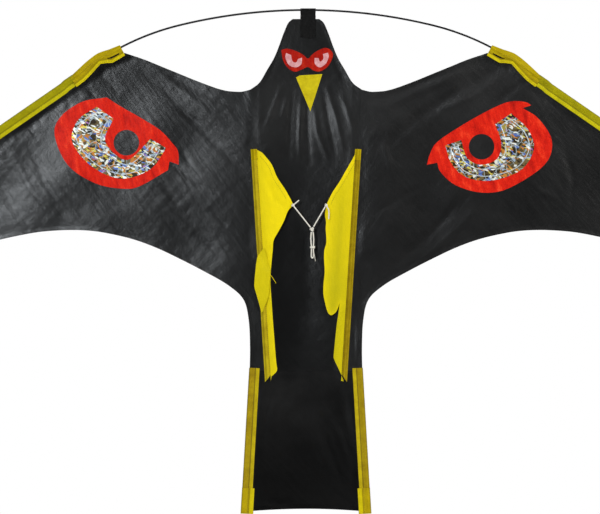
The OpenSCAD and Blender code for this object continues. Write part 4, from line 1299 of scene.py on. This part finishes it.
hinge_top, hinge_middle, hinge_foot = -0.2095, -0.38, -0.5560
hinge_zs = np.linspace(hinge_foot, hinge_top, 60)
hinge_side = np.column_stack([keel_x(hinge_zs, HINGE_IN - FIN_TUCK), hinge_zs])
left_free = through(fin_left_free, 3)
right_free = np.vstack([through(fin_right_free, 3), through(fin_right_low, 3)])
for side, s, free, folds, painted_shade_at in (("left", -1, left_free, FIN_LEFT_FOLDS, left_painted_shade),
                                      ("right", 1, right_free, FIN_RIGHT_FOLDS, right_painted_shade)):
    outline = np.vstack([free, side_of(hinge_side, s)])
    flat, faces = cut(outline, FIN_STEP)
    depth = fin_depth(flat, folds)
    upper = free[:18]
    in_hem = 1 - step_up(near_line(flat[:, 0], flat[:, 1], upper)[0], FIN_HEM - 0.0014, FIN_HEM)
    made = solid_sheet(f"keel_fin_{side}_cloth", flat, faces, depth - FIN_HEM_PROUD * in_hem,
                       FIN_T)
    # Painted shade, kept at every point of the fin for its colour
    stored(made, "painted_shade", painted_shade_at(plan_of(made)))
    shaded(made, fin_yellow, 60)
    hem_line = upper[1:-2] + (s * HEM_STITCH_IN, -HEM_STITCH_DROP)
    parts = [stitching(f"fin_thread_{side}", [
        (hem_line, lambda c, f=folds: fin_depth(c, f) - 0.00045)], 0.0028)]
    if s < 0:
        lobe, lobe_faces = cut(through(np.vstack([lobe_left, lobe_left[:1]]), 2)[:-1], 0.0015)
        x, z = lobe.T
        rim = near_line(x, z, lobe_left[[12, 13, 0, 1]])[0]
        over = -np.interp(z, [-0.455, -0.44, -0.40, -0.37, -0.356],
                          [LOBE_Y, LOBE_Y + 0.0006, LOBE_Y + 0.0012, LOBE_Y + 0.0004, 0.0046])
        main_y = fin_depth(lobe, folds)
        lean = (x + 0.066) * 0.14
        turned = step_up(rim, 0.0, 0.010)
        rise = (over + lean - main_y + LOBE_OVER_FIN) * turned
        lobe_y = np.where(turned < 1, main_y - LOBE_OVER_FIN + rise, over + lean)
        lobe_y += 0.0004 * np.array([noise.noise((a * 90, 1.0, b * 60)) for a, b in lobe])
        # It stays in front of the pocket on one side and of its own fin on the other
        nearest = np.where(x < POCKET_SIDE_X, -LOBE_OVER_POCKET, main_y - LOBE_OVER_FIN)
        flap = solid_sheet("fin_lobe", lobe, lobe_faces, np.minimum(lobe_y, nearest), FIN_T)
        # Painted shade of the lobe, for its colour
        stored(flap, "painted_shade", lobe_painted_shade(plan_of(flap)))
        parts.append(shaded(flap, fin_yellow, 60))
        # A loose end of the hem's thread hangs from the free edge
        loose = strings("fin_loose_thread", [
            (tag((-0.0545, -0.0046, -0.396), (-0.0505, -0.0058, -0.401), (-0.0450, -0.0062, -0.4095)),
             0.00035)])
        parts.append(shaded(loose, fin_yellow))
    joined(made, *parts)
    start, end = [(s * keel_x(hinge_middle, HINGE_IN + d), 0, hinge_middle)
                  for d in (BEND_FROM, BEND_TO)]
    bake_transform(made)
    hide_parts(f"keel_fin_{side}")
    width, height = np.ptp(outline, axis=0)

# Stuck-on patches: red film cut as the wing eyes and the mask, with silver foil and pale
# irises on it, and a yellow beak. They lie on the cloth and follow its folds.
FILM_T = 0.0002
FILM_STEP = 0.0020
RIM_W = 0.012
FILM_GAP = 0.00012
TOP_GAP = 0.00006
PUPIL_D = 0.0384
film_level = CLOTH_T / 2 + FILM_GAP + FILM_T / 2
levels = {"film": film_level, "top": film_level + FILM_T + TOP_GAP}


def red_finish(name, share):
    """Red sticky film, slightly mottled, with wrinkles painted with highlight on their ridges and shade
    in their hollows, and small dark flecks and bright flecks that are painted glints.
    """
    made, tree, surface = shader(name, (0.66, 0.016, 0.006), 0.38, 0.07)
    where = place_on(tree)
    wrinkles = grain(tree, stretched(tree, where, (0.28, -0.96), 95, 30), 1, 3, 0.62)
    # Painted highlight and shade: the colour follows the wrinkles' height, bright on ridges and dark in
    # hollows
    painted_wrinkle_light = ramp(tree, wrinkles, (0.26, (0.34, 0.006, 0.003)), (0.42, (0.60, 0.012, 0.005)),
                 (0.56, (0.72, 0.018, 0.006)), (0.68, (0.86, 0.045, 0.014)), (0.80, (0.95, 0.10, 0.04)))
    flecks_and_glints = ramp(tree, grain(tree, where, 520, 3, 0.7), (0.34, (0.78 * share,) * 3),
                  (0.50, (share,) * 3), (0.70, (share, 1.35 * share, 1.5 * share)))
    tree.links.new(mix(tree, 1.0, painted_wrinkle_light, flecks_and_glints, "MULTIPLY"), surface.inputs["Base Color"])
    bumps(tree, surface, (wrinkles, 0.0009), (grain(tree, where, 480, 3), 0.0003))
    return made


def plain_film(name, colour, low, high):
    """Matt sticky film with a faint mottle."""
    made, tree, surface = shader(name, colour, 0.5, 0.1)
    where = place_on(tree)
    tree.links.new(ramp(tree, grain(tree, where, 130, 4, 0.6), (0.3, low), (0.7, high)),
                   surface.inputs["Base Color"])
    bumps(tree, surface, (grain(tree, where, 240, 3), 0.0004))
    return made


def foil_finish():
    """Silver foil embossed with a broken-glass pattern that flashes in many colours."""
    made, tree, surface = shader("foil_silver", (0.5, 0.5, 0.5), 0.30, 0.3, 0.25)
    where = place_on(tree)
    bent = add(tree, "ShaderNodeVectorMath", (0, add(
        tree, "ShaderNodeTexNoise", ("Vector", where), ("Scale", 90.0),
        ("Detail", 1.0)).outputs["Color"]), (1, (0.006, 0.006, 0.006)), operation="MULTIPLY").outputs[0]
    bent = add(tree, "ShaderNodeVectorMath", (0, where), (1, bent), operation="ADD").outputs[0]
    shards = stretched(tree, bent, (0.6, 0.8), 270, 140)
    slivers = stretched(tree, bent, (0.9, -0.43), 450, 170)
    big = add(tree, "ShaderNodeTexVoronoi", ("Vector", shards), ("Scale", 1.0), feature="F1")
    small = add(tree, "ShaderNodeTexVoronoi", ("Vector", slivers), ("Scale", 1.0), feature="F1")
    cracks = add(tree, "ShaderNodeTexVoronoi", ("Vector", bent), ("Scale", 55.0),
                 feature="DISTANCE_TO_EDGE")
    pick_big = add(tree, "ShaderNodeSeparateXYZ", ("Vector", big.outputs["Color"]))
    pick_small = add(tree, "ShaderNodeSeparateXYZ", ("Vector", small.outputs["Color"]))
    facets = ramp(tree, pick_big.outputs["X"], (0.0, (0.035, 0.025, 0.010)), (0.22, (0.11, 0.08, 0.03)),
                  (0.40, (0.20, 0.15, 0.06)), (0.54, (0.16, 0.18, 0.16)), (0.61, (0.50, 0.19, 0.03)),
                  (0.70, (0.07, 0.12, 0.36)), (0.75, (0.34, 0.44, 0.52)), (0.82, (0.42, 0.34, 0.07)),
                  (0.88, (0.14, 0.12, 0.07)), (0.96, (0.88, 0.90, 0.80)), interpolation="CONSTANT")
    chips = ramp(tree, pick_small.outputs["Y"], (0.0, (0.03, 0.02, 0.01)), (0.22, (0.38, 0.50, 0.64)),
                 (0.33, (0.90, 0.94, 0.88)), (0.44, (0.62, 0.24, 0.04)), (0.65, (0.74, 0.62, 0.10)),
                 (0.76, (0.12, 0.20, 0.55)), (0.88, (0.93, 0.95, 0.90)), (0.96, (0.36, 0.16, 0.42)),
                 interpolation="CONSTANT")
    which = calc(tree, "GREATER_THAN", pick_small.outputs["Z"], 0.62)
    broken = mix(tree, which, facets, chips)
    # Pale cracks, and a pale embossed line that runs round inside the border
    crack = ramp(tree, cracks.outputs["Distance"], (0.0, (0.9,) * 3), (0.030, (0.0,) * 3))
    rim = add(tree, "ShaderNodeAttribute", attribute_name="rim").outputs["Fac"]
    border = ramp(tree, rim, (0.50, (0.0,) * 3), (0.54, (0.85,) * 3), (0.60, (0.85,) * 3),
                  (0.64, (0.0,) * 3))
    pale = calc(tree, "MAXIMUM", crack, border)
    tree.links.new(mix(tree, pale, broken, (0.60, 0.70, 0.74, 1)), surface.inputs["Base Color"])
    bumps(tree, surface, (pick_big.outputs["Y"], 0.0005), (border, 0.0002))
    return made


film_red = red_finish("film_red", 1.0)
film_deep_red = red_finish("film_deep_red", 0.58)
film_white = plain_film("film_white", (0.66, 0.30, 0.31), (0.52, 0.19, 0.20), (0.76, 0.44, 0.45))
film_yellow = plain_film("film_yellow", (0.56, 0.45, 0.004), (0.48, 0.38, 0.003), (0.64, 0.53, 0.006))
film_foil = foil_finish()

eye_left = np.vstack([
    through(mm((-299, -131), (-279, -144), (-249, -161), (-219, -180), (-201, -199), (-192, -212),
               (-191, -232)), 4), mm((-205, -227)),
    through(mm((-207, -240), (-249, -264), (-275, -268), (-316, -260), (-357, -233), (-377, -189),
               (-369, -161), (-337, -138), (-299, -131)), 5)[:-1]])
eye_right = np.vstack([
    through(mm((181.5, -232), (186, -216), (198, -197), (242, -168), (285, -145), (308, -137),
               (329, -138), (338, -143)), 4),
    through(mm((325, -147), (349, -163), (369, -196), (358, -232), (305, -267), (265, -274),
               (225, -263), (202, -243), (197, -229)), 5)])
foil_left = np.vstack([
    through(mm((-289, -163), (-301, -197), (-269, -225), (-233, -193)), 6),
    through(mm((-210, -207), (-230, -236), (-261, -251), (-289, -251), (-325, -232), (-351, -197),
               (-342, -165), (-314, -145)), 4)])
foil_right = np.vstack([
    through(mm((284, -171), (293, -199), (287, -223), (263, -232), (242, -222), (233, -195)), 4),
    through(mm((209, -203), (217, -228), (235, -248), (262, -256), (292, -253), (325, -238),
               (342, -208), (333, -179), (308, -155)), 4)])
pupil_left, pupil_right = mm((-269.5, -199), (263.5, -205))
mask = through(mm((-37, -60), (-34.5, -75), (-27, -87), (-16.5, -92.5), (-6, -89), (3, -85.5),
                  (12, -91), (22.5, -91.5), (34.5, -82.5), (40.5, -66), (31.5, -57), (19.5, -60),
                  (9, -67), (3, -73), (-4.5, -67), (-16.5, -61), (-28.5, -58), (-37, -60)), 4)[:-1]
iris_left = np.vstack([
    through(mm((-30, -64.5), (-30.8, -72), (-25.5, -82.5), (-15, -86), (-7, -81), (-6, -71.5)), 4),
    through(mm((-12, -73.5), (-15, -78.8), (-20.3, -76.5), (-22.5, -67.5)), 4)])
iris_right = np.vstack([
    through(mm((33, -64), (34, -70), (30, -80), (21, -86), (13.5, -81), (12.8, -72)), 4),
    through(mm((18.8, -72), (21, -77.5), (26, -73.5), (25.5, -66)), 4)])
beak = mm((-15, -101), (-9, -98), (24.5, -96), (6.5, -152))


def ring(centre, radius, n=72):
    """Points of a circle."""
    a = np.linspace(0, 2 * math.pi, n, endpoint=False)
    return np.array(centre) + radius * np.column_stack([np.cos(a), np.sin(a)])


def film(name, node, outline, level, finish, holes=(), step=FILM_STEP):
    """A film patch that lies on the sail at a level above it."""
    flat, faces = cut(outline, step, holes)
    made = solid_sheet(name, flat, faces, cloth_depth(flat) - levels[level], FILM_T)
    if finish is film_foil:
        inset = near_line(*plan_of(made).T, np.vstack([outline, outline[:1]]))[0]
        stored(made, "rim", inset / RIM_W)
    shaded(made, finish, 40)
    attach(made, "sail")
    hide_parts(node)


for name, outline, pupil, foil in (("left", eye_left, pupil_left, foil_left),
                                   ("right", eye_right, pupil_right, foil_right)):
    film(f"wing_eye_{name}_film", f"wing_eye_{name}", outline, "film", film_red,
         [ring(pupil, PUPIL_D / 2)])
    film(f"iris_foil_{name}_film", f"iris_foil_{name}", foil, "top", film_foil)
film("face_mask_film", "face_mask", mask, "film", film_deep_red, step=0.0014)
for name, outline in (("left", iris_left), ("right", iris_right)):
    film(f"face_iris_{name}_film", f"face_iris_{name}", outline, "top", film_white,
         step=0.001)
film("beak_film", "beak", beak, "film", film_yellow, step=0.0014)

# Studio: a small pale floor under the kite and white all round, with a soft key from the
# upper left and fills from the right, above and behind. Gloss sees a dark curtain in
# place of the white world, which keeps the black cloth black.
FLOOR_Z = -0.80
FLOOR_W = 2.4
FLOOR_DEEP = 1.2
FLOOR_Y = -0.35
CURTAIN_R = 9
CURTAIN_H = 24
AMBIENT = 0.12
bpy.ops.object.select_all(action="DESELECT")
bpy.ops.mesh.primitive_plane_add(size=1, location=(0, 0, 0))
floor = bpy.context.object
floor.name = "floor"
floor.data.transform(Matrix(((FLOOR_W, 0, 0, 0), (0, FLOOR_DEEP, 0, FLOOR_Y), (0, 0, 1, FLOOR_Z),
                             (0, 0, 0, 1))))
pale, tree, surface = shader("floor_pale", (0.9, 0.9, 0.9), 0.9, 0.2)
tree.links.new(ramp(tree, grain(tree, place_on(tree), 4, 3), (0.3, (0.88,) * 3), (0.7, (0.93,) * 3)),
               surface.inputs["Base Color"])
floor.data.materials.append(pale)

bpy.ops.object.select_all(action="DESELECT")
bpy.ops.mesh.primitive_cylinder_add(vertices=48, radius=CURTAIN_R, depth=CURTAIN_H,
                                    end_fill_type="NOTHING", location=(0, 0, 0))
curtain = bpy.context.object
curtain.name = "curtain"
dark, tree, surface = shader("curtain_dark", (0.01, 0.01, 0.01), 0.9, 0.1)
curtain.data.materials.append(dark)
curtain.visible_camera = False
curtain.visible_diffuse = False
curtain.visible_shadow = False


def lamp(name, place, aim, size, power, colour):
    """A square soft light that faces a point."""
    light = bpy.data.lights.new(name, "AREA")
    light.shape = "SQUARE"
    light.size = size
    light.energy = power
    light.color = colour
    made = bpy.data.objects.new(name, light)
    made.location = place
    made.rotation_euler = (Vector(aim) - Vector(place)).to_track_quat("-Z", "Y").to_euler()
    bpy.context.collection.objects.link(made)
    return made


lamp("key", (-1.2, -2.8, 0.25), (-0.1, 0, -0.3), 0.55, 29, (0.91, 0.96, 1.0))
lamp("fill", (2.1, -2.3, 0.9), (0.1, 0, -0.3), 1.4, 58, (1.0, 0.99, 0.97))
lamp("top", (-0.5, -2.2, 2.3), (0, 0, -0.35), 1.4, 36, (1.0, 1.0, 1.0))
lamp("back", (0.9, 3.0, 0.7), (0, 0, -0.3), 1.8, 70, (1.0, 1.0, 1.0))

world = bpy.data.worlds.new("studio")
bpy.context.scene.world = world
world.use_nodes = True
tree = world.node_tree
background = tree.nodes["Background"]
path = add(tree, "ShaderNodeLightPath")
seen = calc(tree, "MAXIMUM", path.outputs["Is Camera Ray"], path.outputs["Is Glossy Ray"])
seen = calc(tree, "MAXIMUM", seen, path.outputs["Is Transmission Ray"])
white = mix(tree, seen, (AMBIENT, AMBIENT, AMBIENT, 1), (1, 1, 1, 1))
tree.links.new(white, background.inputs["Color"])
background.inputs["Strength"].default_value = 1.0

bpy.context.scene.view_settings.view_transform = "Standard"
